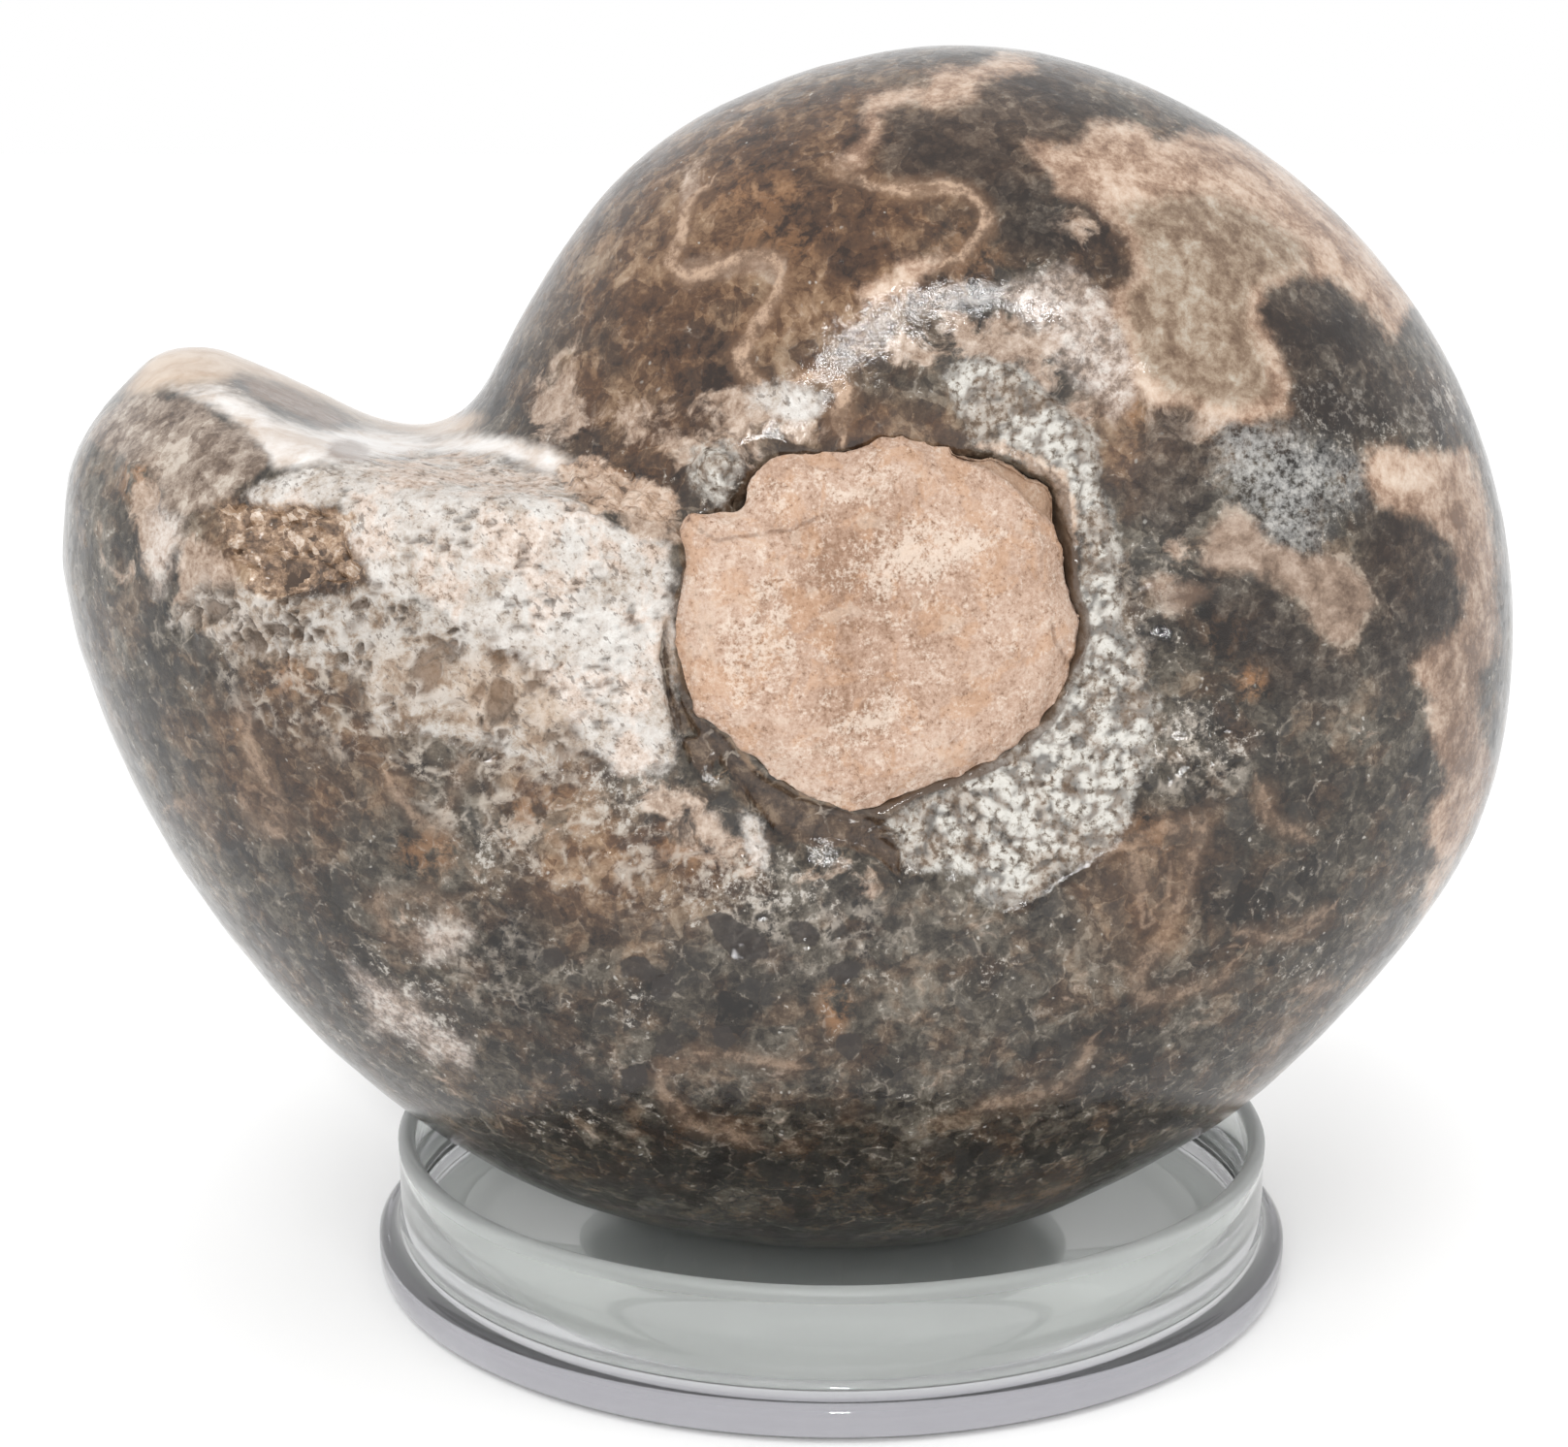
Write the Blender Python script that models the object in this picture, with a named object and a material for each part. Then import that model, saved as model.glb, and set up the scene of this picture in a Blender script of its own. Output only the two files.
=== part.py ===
"""Polished Vascoceras ammonite, a globose spiral fossil, resting in a clear round display dish.

The shell coils about an axis that runs along Y. Its near side faces -Y and its opening faces up at -X.
The origin is the middle of the dish's underside.
"""
import math

import bmesh
import bpy
from mathutils import Matrix, Vector

MM = 0.001

# Dish, a shallow tub with a flange at its foot
FLANGE_RADIUS = 30.0 * MM
FLANGE_HEIGHT = 2.1 * MM
WALL_RADIUS = 28.5 * MM
WALL_THICKNESS = 0.9 * MM
RIM_HEIGHT = 8.6 * MM
FLOOR_THICKNESS = 1.4 * MM
EDGE_ROUNDING = 0.35 * MM
DISH_SEGMENTS = 56

# Shell spiral, measured from the coil axis to the outer line of the whorl
COIL_X = 3.6 * MM
COIL_Z = 45.6 * MM
NOTCH_ANGLE = 162.5
NOTCH_RADIUS = 27.9 * MM
WHORL_RATIO = 1.987
REGULAR_TURN = 349.0
LAST_TURN = 362.0
HALF_WIDTH = 19.6 * MM
WIDTH_RATIO = 1.54
UMBILICUS_RADIUS = 12.0 * MM
UMBILICUS_DEPTH = 22.3 * MM
UMBILICUS_SLOPE = 0.17
SHOULDER_BLEND = 0.35

# Where the worn whorl stands proud of the spiral: turn, spread and share of the radius
WORN_SWELLS = (
    (21.0, 18.0, -0.025),
    (85.0, 18.0, 0.014),
    (167.0, 58.0, 0.042),
    (185.0, 19.0, 0.026),
    (222.0, 14.0, 0.014),
    (247.0, 14.0, 0.022),
    (316.0, 45.0, -0.028),
    (349.0, 16.0, -0.004),
)

# The last whorl laps onto the one before it by this much, towards the umbilicus
LAP_ANGLE = 10.5
LAP_FULL_RADIUS = 14.7 * MM

# Open end of the whorl, broken off and polished to a shallow scoop
LIP_RADIUS_SHARE = 0.87
LIP_WIDTH_SHARE = 0.93
NEAR_DIP = 3.0
FAR_DIP = 8.5
SCOOP_DEPTH = 2.0 * MM
SCOOP_ROWS = 3

# Groove beside the lower edge of the umbilicus
GROOVE_ANGLE = 235.0
GROOVE_SPREAD = 55.0
GROOVE_RADIUS = 13.5 * MM
GROOVE_WIDTH = 2.2 * MM
GROOVE_DEPTH = 1.8 * MM

# Sandstone that fills each umbilicus
PLUG_CENTRE = Vector((2.4 * MM, -22.2 * MM, 45.5 * MM))
PLUG_TURN = 10.5
PLUG_TILT = 8.0
PLUG_HALF_LENGTH = 11.9 * MM
PLUG_HALF_HEIGHT = 10.7 * MM
PLUG_DEPTH = 6.0 * MM
PLUG_CROWN = 1.5 * MM
PLUG_TAPER = 0.82
PLUG_SEGMENTS = 40

# How the plug's front domes: share of the crown's height and share of the outline's size
CROWN_LEVELS = ((0.62, 0.80), (0.92, 0.45), (1.0, 0.15))

# Corners and a bite in the plug's edge: direction, spread and share of the radius
PLUG_CORNERS = ((149.0, 15.0, 0.17), (38.0, 22.0, 0.10), (130.0, 14.0, -0.09))

# Lens-shaped pocket lined with crystal on the near flank, and the knob in the plug's bite.
# Each has its middle, the way it faces, and its half length, half height and half depth.
POCKET = (Vector((-30.1, -24.1, 49.9)) * MM, Vector((-0.40, -0.85, 0.34)), Vector((4.4, 2.4, 1.3)) * MM)
KNOB = (Vector((-7.0, -21.2, 54.1)) * MM, Vector((-0.20, -0.93, 0.30)), Vector((1.9, 1.7, 1.3)) * MM)

# Flat ground under the shell, cut by a box that is larger than the shell
GROUND_CUT_REACH = 50.0 * MM
GROUND_CUT_DEPTH = 20.0 * MM

GAP = 0.3 * MM
SECTIONS = 32
FLANK_ROWS = 7
SHARP_ANGLE = 40.0


def hump(angle, centre, spread):
    """A smooth rise from 0 to 1 and back, as wide as the spread on each side of the centre, in degrees."""
    away = abs((angle - centre + 180.0) % 360.0 - 180.0)
    if away >= spread:
        return 0.0
    return 0.5 + 0.5 * math.cos(math.pi * away / spread)


def venter_radius(turn):
    """Distance from the axis to the outer line of the whorl, a turn of so many degrees past the notch."""
    swell = sum(share * hump(turn, centre, spread) for centre, spread, share in WORN_SWELLS)
    return NOTCH_RADIUS * WHORL_RATIO ** (turn / 360.0) * (1.0 + swell)


def lap(radius):
    """Angle by which a point near the umbilicus runs ahead of the venter, in degrees."""
    share = (NOTCH_RADIUS - radius) / (NOTCH_RADIUS - LAP_FULL_RADIUS)
    return LAP_ANGLE * min(max(share, 0.0), 1.0)


def umbilicus_level(radius, angle):
    """Distance from the middle plane to the floor round the umbilicus, whose plane leans a little."""
    lean = UMBILICUS_SLOPE * radius * (math.cos(angle) + math.sin(angle))
    groove = GROOVE_DEPTH * hump(math.degrees(angle), GROOVE_ANGLE, GROOVE_SPREAD)
    groove *= math.exp(-((radius - GROOVE_RADIUS) / GROOVE_WIDTH) ** 2)
    return UMBILICUS_DEPTH - lean - groove


def end_turn(row, side):
    """How far the last whorl reaches, which is less on its flanks than on the venter, and least behind."""
    dip = NEAR_DIP if side < 0 else FAR_DIP
    return LAST_TURN - dip * math.sin(math.pi * row / FLANK_ROWS)


def shell_point(turn, row, side, radius_share=1.0, width_share=1.0):
    """A point of the shell, on the near side (-1) or the far side (+1) of the middle plane.

    Rows run from the pole of the umbilicus (-2) over its edge (0) to the venter (FLANK_ROWS).
    """
    if row <= 0:
        radius = UMBILICUS_RADIUS * (1.0 + row / 2.0)
        angle = math.radians(NOTCH_ANGLE - turn - lap(radius))
        level = umbilicus_level(radius, angle)
    else:
        arc = math.pi / 2 * row / FLANK_ROWS
        reach = venter_radius(turn) * radius_share - UMBILICUS_RADIUS
        radius = UMBILICUS_RADIUS + reach * math.sin(arc)
        angle = math.radians(NOTCH_ANGLE - turn - lap(radius))
        width = HALF_WIDTH * width_share * WIDTH_RATIO ** (turn / 360.0)
        blend = min(math.sin(arc) / SHOULDER_BLEND, 1.0)
        edge = umbilicus_level(UMBILICUS_RADIUS, angle)
        level = (edge * (1.0 - blend) + width * blend) * math.cos(arc)
    return Vector((radius * math.cos(angle), side * level, radius * math.sin(angle)))


def join_rows(mesh, first, second, closed=False):
    """Quads between two rows of vertices, skipping corners that both rows share."""
    count = len(first) if closed else len(first) - 1
    for i in range(count):
        j = (i + 1) % len(first)
        corners = []
        for vert in (first[i], first[j], second[j], second[i]):
            if vert not in corners:
                corners.append(vert)
        if len(corners) > 2:
            mesh.faces.new(corners)


def build_shell_mesh():
    """The whorls as one closed cage, to be rounded off by subdivision."""
    mesh = bmesh.new()
    keys = [(row, -1) for row in range(-1, FLANK_ROWS)] + [(FLANK_ROWS, 1)]
    keys += [(row, 1) for row in range(FLANK_ROWS - 1, -2, -1)]
    poles = [mesh.verts.new(shell_point(0.0, -2, side)) for side in (-1, 1)]
    rings = []
    for section in range(SECTIONS):
        last = section == SECTIONS - 1
        ring = []
        for row, side in keys:
            if last and row <= 0:
                ring.append(rings[0][len(ring)])
            elif last:
                lip = (end_turn(row, side), row, side, LIP_RADIUS_SHARE, LIP_WIDTH_SHARE)
                ring.append(mesh.verts.new(shell_point(*lip)))
            else:
                turn = REGULAR_TURN * section / (SECTIONS - 2)
                ring.append(mesh.verts.new(shell_point(turn, row, side)))
        rings.append(ring)
    for first, second in zip(rings, rings[1:]):
        join_rows(mesh, [poles[0]] + first + [poles[1]], [poles[0]] + second + [poles[1]])
    close_open_end(mesh, rings[-1], rings[0])
    bmesh.ops.recalc_face_normals(mesh, faces=mesh.faces)
    return mesh


def close_open_end(mesh, outer, inner):
    """The scooped face between the end of the last whorl and the whorl that it laps onto."""
    down = Vector((-math.sin(math.radians(NOTCH_ANGLE)), 0.0, math.cos(math.radians(NOTCH_ANGLE))))
    rows = [outer]
    for step in range(1, SCOOP_ROWS):
        share = step / SCOOP_ROWS
        row = []
        for start, end in zip(outer, inner):
            if start is end:
                row.append(start)
                continue
            point = start.co.lerp(end.co, share)
            breadth = min((end.co - start.co).length / NOTCH_RADIUS, 1.0)
            row.append(mesh.verts.new(point + down * SCOOP_DEPTH * breadth * math.sin(math.pi * share)))
        rows.append(row)
    rows.append(inner)
    for first, second in zip(rows, rows[1:]):
        join_rows(mesh, first, second)


def plug_outline(share, grow):
    """The plug's edge, an oval with two corners and a bite where a knob of shell stands in."""
    points = []
    for step in range(PLUG_SEGMENTS):
        turn = 360.0 * step / PLUG_SEGMENTS
        corner = sum(part * hump(turn, centre, spread) for centre, spread, part in PLUG_CORNERS)
        reach = share * (1.0 + corner)
        angle = math.radians(turn)
        along = (PLUG_HALF_LENGTH * reach + grow) * math.cos(angle)
        up = (PLUG_HALF_HEIGHT * reach + grow) * math.sin(angle)
        points.append((along, up))
    return points


def build_plug_mesh(side, levels, grow=0.0):
    """A closed body through the plug's outline at each level: its height out of the shell and its size."""
    mesh = bmesh.new()
    rows = []
    for height, share in levels:
        rows.append([mesh.verts.new((x, -height, z)) for x, z in plug_outline(share, grow)])
    for first, second in zip(rows, rows[1:]):
        join_rows(mesh, first, second, closed=True)
    mesh.faces.new(rows[0])
    mesh.faces.new(rows[-1])
    turn = Matrix.Rotation(math.radians(PLUG_TURN), 4, "Z")
    lean = turn @ Matrix.Rotation(math.radians(-PLUG_TILT), 4, "X")
    bmesh.ops.transform(mesh, matrix=Matrix.Translation(PLUG_CENTRE) @ lean, verts=mesh.verts)
    if side > 0:
        bmesh.ops.transform(mesh, matrix=Matrix.Scale(-1.0, 4, (0.0, 1.0, 0.0)), verts=mesh.verts)
    bmesh.ops.recalc_face_normals(mesh, faces=mesh.faces)
    return mesh


def build_dish_mesh():
    """The dish as one turned profile, closed on its axis."""
    inner = WALL_RADIUS - WALL_THICKNESS
    profile = (
        (0.0, 0.0),
        (FLANGE_RADIUS - EDGE_ROUNDING, 0.0),
        (FLANGE_RADIUS, EDGE_ROUNDING),
        (FLANGE_RADIUS, FLANGE_HEIGHT - EDGE_ROUNDING),
        (FLANGE_RADIUS - EDGE_ROUNDING, FLANGE_HEIGHT),
        (WALL_RADIUS + EDGE_ROUNDING, FLANGE_HEIGHT),
        (WALL_RADIUS, FLANGE_HEIGHT + EDGE_ROUNDING),
        (WALL_RADIUS, RIM_HEIGHT - EDGE_ROUNDING),
        (WALL_RADIUS - EDGE_ROUNDING, RIM_HEIGHT),
        (inner + EDGE_ROUNDING, RIM_HEIGHT),
        (inner, RIM_HEIGHT - EDGE_ROUNDING),
        (inner, FLOOR_THICKNESS + 2 * EDGE_ROUNDING),
        (inner - 2 * EDGE_ROUNDING, FLOOR_THICKNESS),
        (0.0, FLOOR_THICKNESS),
    )
    mesh = bmesh.new()
    verts = [mesh.verts.new((radius, 0.0, height)) for radius, height in profile]
    edges = [mesh.edges.new(pair) for pair in zip(verts, verts[1:])]
    bmesh.ops.spin(mesh, geom=verts + edges, cent=(0, 0, 0), axis=(0, 0, 1), angle=2 * math.pi,
                   steps=DISH_SEGMENTS, use_merge=True)
    bmesh.ops.remove_doubles(mesh, verts=mesh.verts, dist=0.01 * MM)
    bmesh.ops.recalc_face_normals(mesh, faces=mesh.faces)
    return mesh


def build_box_mesh(low, high):
    mesh = bmesh.new()
    bmesh.ops.create_cube(mesh, size=1.0)
    for vert in mesh.verts:
        vert.co = [a if c < 0 else b for c, a, b in zip(vert.co, low, high)]
    return mesh


def build_lens_mesh(middle, facing, half_sizes):
    """A flattened ball whose short way lies along the direction it faces."""
    mesh = bmesh.new()
    bmesh.ops.create_icosphere(mesh, subdivisions=2, radius=1.0)
    bmesh.ops.scale(mesh, vec=half_sizes, verts=mesh.verts)
    turn = facing.to_track_quat("Z", "Y").to_matrix().to_4x4()
    bmesh.ops.transform(mesh, matrix=Matrix.Translation(middle) @ turn, verts=mesh.verts)
    return mesh


def add_object(name, mesh, material=None, location=(0.0, 0.0, 0.0)):
    data = bpy.data.meshes.new(name)
    mesh.to_mesh(data)
    mesh.free()
    if material:
        data.materials.append(material)
        data.shade_smooth()
        data.set_sharp_from_angle(angle=math.radians(SHARP_ANGLE))
    thing = bpy.data.objects.new(name, data)
    thing.location = location
    bpy.context.collection.objects.link(thing)
    return thing


def make_material(name, colour, roughness, transmission=0.0):
    material = bpy.data.materials.new(name)
    material.use_nodes = True
    shader = material.node_tree.nodes["Principled BSDF"]
    shader.inputs["Base Color"].default_value = (*colour, 1.0)
    shader.inputs["Roughness"].default_value = roughness
    shader.inputs["Transmission Weight"].default_value = transmission
    return material


def add_boolean(target, name, mesh, operation="DIFFERENCE"):
    """Cuts the mesh out of the target, or joins it on."""
    helper = add_object(name, mesh)
    helper.hide_render = True
    helper.display_type = "WIRE"
    change = target.modifiers.new(name, "BOOLEAN")
    change.operation = operation
    change.object = helper


def build_ammonite(material):
    shell = add_object("ammonite", build_shell_mesh(), material, (COIL_X, 0.0, COIL_Z))
    rounding = shell.modifiers.new("rounding", "SUBSURF")
    rounding.levels = 1
    rounding.render_levels = 1
    add_boolean(shell, "pocket_cut", build_lens_mesh(*POCKET))
    add_boolean(shell, "knob_join", build_lens_mesh(*KNOB), "UNION")
    hollow = ((-PLUG_DEPTH - GAP, PLUG_TAPER), (0.0, 1.0), (PLUG_DEPTH, 1.0))
    for side, name in ((-1, "front_hollow_cut"), (1, "back_hollow_cut")):
        add_boolean(shell, name, build_plug_mesh(side, hollow, GAP))
    low = (-GROUND_CUT_REACH, -GROUND_CUT_REACH, -GROUND_CUT_DEPTH)
    high = (GROUND_CUT_REACH, GROUND_CUT_REACH, FLOOR_THICKNESS + GAP)
    add_boolean(shell, "ground_cut", build_box_mesh(low, high))


def main():
    for thing in list(bpy.data.objects):
        bpy.data.objects.remove(thing)
    stone = make_material("polished_calcite", (0.12, 0.085, 0.06), 0.28)
    sandstone = make_material("peach_sandstone", (0.62, 0.42, 0.29), 0.85)
    plastic = make_material("clear_plastic", (0.92, 0.95, 0.95), 0.06, 1.0)
    build_ammonite(stone)
    crown = tuple((PLUG_CROWN * rise, share) for rise, share in CROWN_LEVELS)
    fill = ((-PLUG_DEPTH, PLUG_TAPER), (0.0, 1.0)) + crown
    add_object("matrix_plug_front", build_plug_mesh(-1, fill), sandstone)
    add_object("matrix_plug_back", build_plug_mesh(1, fill), sandstone)
    add_object("display_dish", build_dish_mesh(), plastic)


main()
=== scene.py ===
import math

import bmesh
import bpy
import numpy as np
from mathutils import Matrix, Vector, noise


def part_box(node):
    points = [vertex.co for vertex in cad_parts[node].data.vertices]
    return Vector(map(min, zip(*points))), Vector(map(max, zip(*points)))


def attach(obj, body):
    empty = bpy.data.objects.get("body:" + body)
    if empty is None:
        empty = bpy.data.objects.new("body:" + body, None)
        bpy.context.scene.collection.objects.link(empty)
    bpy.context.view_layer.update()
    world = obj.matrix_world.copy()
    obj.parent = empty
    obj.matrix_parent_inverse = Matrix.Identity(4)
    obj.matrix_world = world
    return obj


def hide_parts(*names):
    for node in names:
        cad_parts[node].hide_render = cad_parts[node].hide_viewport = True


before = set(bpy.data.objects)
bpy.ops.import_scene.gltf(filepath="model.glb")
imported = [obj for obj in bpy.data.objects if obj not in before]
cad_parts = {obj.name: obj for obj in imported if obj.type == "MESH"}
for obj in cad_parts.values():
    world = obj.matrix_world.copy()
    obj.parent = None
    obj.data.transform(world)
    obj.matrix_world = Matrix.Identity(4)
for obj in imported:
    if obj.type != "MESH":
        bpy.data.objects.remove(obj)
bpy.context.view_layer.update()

mm = 0.001

# The camera that the photograph was taken with, worked out from the dish's edges
photoView = {
    "width": 1617, "height": 1492, "focalPixels": 2800.0, "sensorMm": 36.0,
    "place": (-0.0031, -0.1713, 0.0730), "pitch": 12.5, "pixelsPerMm": 16.4, "pixelsPerMmAtPlug": 18.2,
}

# Outlines of the markings on the near side, drawn in pixels of the photograph's frame
peachMarks = [
    [(1029, 53), (1065, 57), (1067, 72), (1012, 78), (1006, 99), (966, 110), (947, 103), (924, 107),
     (910, 116), (908, 141), (895, 152), (889, 172), (866, 175), (862, 168), (885, 151), (892, 141),
     (890, 112), (897, 97), (916, 89), (956, 91), (958, 72), (1012, 68)],
    [(933, 264), (981, 263), (973, 275), (950, 284), (943, 294), (924, 304), (889, 306), (885, 300),
     (897, 292), (920, 288), (927, 275)],
    [(1058, 146), (1114, 150), (1125, 123), (1180, 130), (1198, 146), (1224, 135), (1276, 141), (1320, 163),
     (1356, 196), (1393, 233), (1430, 273), (1460, 310), (1437, 351), (1408, 314), (1371, 286), (1345, 281),
     (1305, 295), (1298, 325), (1320, 365), (1331, 391), (1329, 424), (1294, 435), (1257, 432), (1228, 417),
     (1180, 415), (1169, 384), (1161, 343), (1147, 303), (1174, 281), (1169, 259), (1150, 233), (1125, 211),
     (1092, 203), (1088, 181), (1062, 159)],
    [(1412, 461), (1474, 468), (1515, 461), (1529, 502), (1544, 575), (1546, 673), (1526, 698), (1524, 731),
     (1532, 763), (1544, 792), (1526, 841), (1501, 886), (1469, 947), (1473, 910), (1493, 886), (1473, 869),
     (1475, 845), (1493, 812), (1487, 776), (1473, 755), (1477, 722), (1456, 692), (1473, 669), (1509, 639),
     (1513, 608), (1507, 601), (1496, 557), (1474, 535), (1445, 531), (1423, 520), (1408, 494)],
]
lobeMarks = [
    [(700, 270), (735, 264), (790, 258), (807, 270), (801, 292), (790, 284), (760, 279), (730, 287),
     (705, 293), (694, 283)],
    [(1272, 520), (1294, 535), (1309, 557), (1349, 573), (1393, 575), (1408, 597), (1420, 616), (1407, 637),
     (1399, 661), (1387, 667), (1367, 660), (1350, 643), (1342, 620), (1323, 605), (1298, 590), (1261, 590),
     (1239, 583), (1246, 553), (1261, 527)],
    [(1183, 600), (1248, 604), (1236, 625), (1205, 634)],
]
creamMarks = [
    [(277, 493), (331, 478), (384, 474), (446, 466), (518, 470), (576, 493), (606, 524), (640, 545),
     (690, 560), (692, 640), (696, 700), (700, 790), (640, 800), (600, 770), (560, 740), (560, 705),
     (530, 677), (492, 684), (457, 631), (423, 616), (396, 631), (377, 600), (365, 554), (346, 524),
     (308, 520), (270, 527), (239, 508)],
    [(774, 401), (810, 392), (851, 405), (847, 425), (820, 438), (797, 430), (774, 416)],
    [(763, 837), (785, 845), (790, 894), (775, 890)],
]
netMarks = [
    [(208, 604), (254, 608), (308, 616), (377, 608), (423, 623), (462, 640), (510, 668), (552, 690),
     (580, 722), (596, 768), (566, 792), (520, 776), (461, 765), (423, 753), (384, 742), (384, 696),
     (331, 684), (254, 673), (193, 646), (174, 642)],
]
grainMarks = [
    [(973, 390), (1012, 367), (1054, 386), (1088, 417), (1121, 443), (1128, 476), (1136, 513), (1147, 549),
     (1150, 600), (1155, 649), (1187, 665), (1187, 706), (1191, 739), (1183, 788), (1167, 812), (1158, 841),
     (1150, 865), (1122, 882), (1093, 902), (1064, 922), (1031, 936), (1004, 921), (1008, 905), (966, 894),
     (931, 890), (927, 863), (904, 852), (935, 833), (1019, 791), (1057, 768), (1095, 720), (1112, 690),
     (1115, 640), (1110, 580), (1105, 530), (1090, 490), (1050, 470), (1000, 450)],
    [(708, 486), (714, 470), (726, 458), (744, 452), (758, 462), (764, 484), (758, 504), (740, 516),
     (718, 508)],
]
darkMarks = [
    [(1298, 295), (1345, 284), (1379, 295), (1412, 321), (1441, 351), (1448, 384), (1478, 402), (1500, 432),
     (1496, 450), (1467, 450), (1430, 432), (1412, 450), (1371, 443), (1334, 428), (1331, 384), (1312, 351),
     (1298, 325)],
    [(1412, 502), (1445, 531), (1478, 538), (1500, 568), (1511, 605), (1509, 624), (1493, 653), (1460, 673),
     (1448, 706), (1424, 722), (1407, 682), (1407, 641), (1410, 600), (1405, 560), (1402, 530)],
    [(1246, 594), (1276, 590), (1312, 605), (1338, 623), (1350, 649), (1387, 673), (1403, 686), (1403, 714),
     (1367, 735), (1326, 722), (1301, 694), (1269, 682), (1252, 649), (1244, 620)],
    [(1180, 425), (1230, 425), (1245, 470), (1240, 530), (1215, 560), (1170, 530), (1165, 490),
     (1175, 450)],
    [(1040, 215), (1078, 206), (1098, 222), (1104, 246), (1094, 270), (1050, 262), (1020, 240)],
    [(1140, 262), (1160, 268), (1172, 284), (1158, 298), (1140, 292)],
    [(1012, 78), (1067, 72), (1115, 87), (1160, 107), (1160, 122), (1126, 126), (1122, 145), (1073, 145),
     (1054, 152), (1088, 183), (1092, 210), (1057, 214), (1023, 221), (1000, 195), (966, 187), (924, 191),
     (904, 172), (904, 156), (916, 141), (912, 118), (947, 107), (966, 112), (1006, 103)],
]
blueMarks = [
    [(1261, 439), (1298, 439), (1334, 450), (1382, 476), (1408, 487), (1393, 509), (1364, 524), (1356, 553),
     (1349, 575), (1312, 557), (1294, 535), (1279, 513), (1261, 483)],
]
paleMarks = [
    [(1026, 302), (1045, 291), (1073, 283), (1100, 275), (1133, 302), (1149, 325), (1164, 352), (1176, 376),
     (1168, 414), (1149, 429), (1126, 406), (1095, 375), (1078, 346), (1045, 318)],
    [(431, 953), (473, 951), (485, 964), (469, 979), (443, 991), (431, 972)],
    [(362, 995), (397, 1018), (424, 1025), (447, 1056), (485, 1079), (481, 1098), (443, 1090), (420, 1067),
     (385, 1064), (381, 1037)],
    [(151, 531), (170, 524), (191, 535), (182, 566), (172, 593), (162, 612), (151, 589), (151, 562)],
]
pocketMarks = [
    [(222, 520), (246, 514), (280, 522), (306, 518), (336, 528), (362, 534), (352, 552), (362, 574),
     (378, 592), (360, 606), (332, 602), (304, 614), (276, 620), (252, 606), (262, 590), (240, 578),
     (228, 556), (232, 540)],
]
facetMarks = [
    [(101, 428), (136, 409), (193, 409), (224, 432), (254, 443), (281, 474), (254, 501), (220, 520),
     (193, 531), (170, 524), (155, 485), (117, 466), (86, 455)],
]
spotMarks = [
    [(247, 386), (285, 397), (331, 417), (358, 432), (342, 440), (308, 426), (262, 409)],
    [(339, 455), (358, 451), (381, 459), (381, 472), (354, 478), (337, 468)],
]
grooveMarks = [
    [(690, 640), (702, 764), (721, 760), (705, 720), (751, 760), (774, 794), (820, 821), (889, 838),
     (927, 859), (904, 859), (931, 879), (927, 905), (904, 886), (874, 875), (843, 875), (813, 867),
     (797, 852), (774, 825), (751, 794), (740, 783), (732, 808), (717, 794), (690, 730), (682, 680)],
]
sutureLines = [
    [(866, 176), (885, 183), (912, 195), (943, 195), (973, 191), (1000, 198), (1017, 217), (1015, 237),
     (1000, 256), (981, 269)],
    [(725, 191), (707, 210), (705, 229), (700, 252), (690, 271), (705, 283), (732, 279), (759, 267),
     (786, 263), (803, 269), (805, 283), (799, 306), (786, 325), (774, 348), (763, 363), (765, 382),
     (778, 392)],
    [(824, 390), (851, 386), (870, 397), (874, 413), (862, 428), (866, 443)],
]
faintLines = [
    [(1095, 865), (1122, 882), (1146, 878), (1175, 865), (1207, 853), (1240, 847), (1240, 861), (1228, 886),
     (1226, 914), (1216, 935), (1203, 955), (1195, 980), (1179, 992), (1171, 1012), (1179, 1033),
     (1203, 1029), (1232, 1020), (1260, 1012), (1269, 1000)],
    [(1289, 963), (1318, 969), (1342, 959), (1367, 941)],
    [(820, 1101), (790, 1097), (759, 1089), (721, 1087), (690, 1097), (679, 1116), (690, 1135), (709, 1158),
     (740, 1162), (774, 1177)],
    [(1008, 1143), (1060, 1132), (1103, 1120), (1115, 1097), (1126, 1081)],
    [(1015, 1246), (1046, 1244), (1080, 1233), (1107, 1219)],
    [(251, 731), (255, 761), (263, 792), (282, 815)],
    [(251, 826), (267, 849), (290, 861), (291, 849), (282, 838)],
    [(469, 945), (443, 926), (416, 922), (393, 926), (393, 945), (404, 964), (427, 968)],
    [(481, 788), (466, 815), (458, 853), (435, 853), (416, 826), (404, 807)],
    [(186, 830), (202, 826), (217, 861)],
    [(1167, 878), (1175, 910), (1179, 943)],
    [(1301, 816), (1309, 845), (1326, 857), (1342, 861)],
    [(1346, 1020), (1367, 1016)],
    [(1301, 1094), (1330, 1061)],
    [(1260, 1155), (1285, 1135)],
]
lipMarks = [
    [(126, 405), (140, 385), (160, 350), (230, 340), (300, 360), (350, 385), (400, 410), (470, 425),
     (500, 430), (480, 447), (440, 449), (384, 436), (331, 412), (285, 394), (247, 384), (222, 396),
     (180, 396), (150, 408)],
]
bandMarks = [
    [(170, 398), (222, 398), (243, 404), (285, 430), (331, 444), (384, 440), (440, 452), (490, 447),
     (560, 458), (590, 474), (570, 488), (518, 470), (446, 464), (384, 472), (331, 478), (285, 482),
     (272, 462), (232, 424), (190, 406)],
]
swirlMarks = [
    [(1150, 216), (1190, 204), (1240, 196), (1300, 216), (1345, 248), (1350, 276), (1310, 288), (1290, 300),
     (1290, 330), (1306, 372), (1312, 408), (1262, 422), (1212, 408), (1178, 384), (1168, 343), (1158, 303),
     (1182, 281), (1174, 250)],
]
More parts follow.
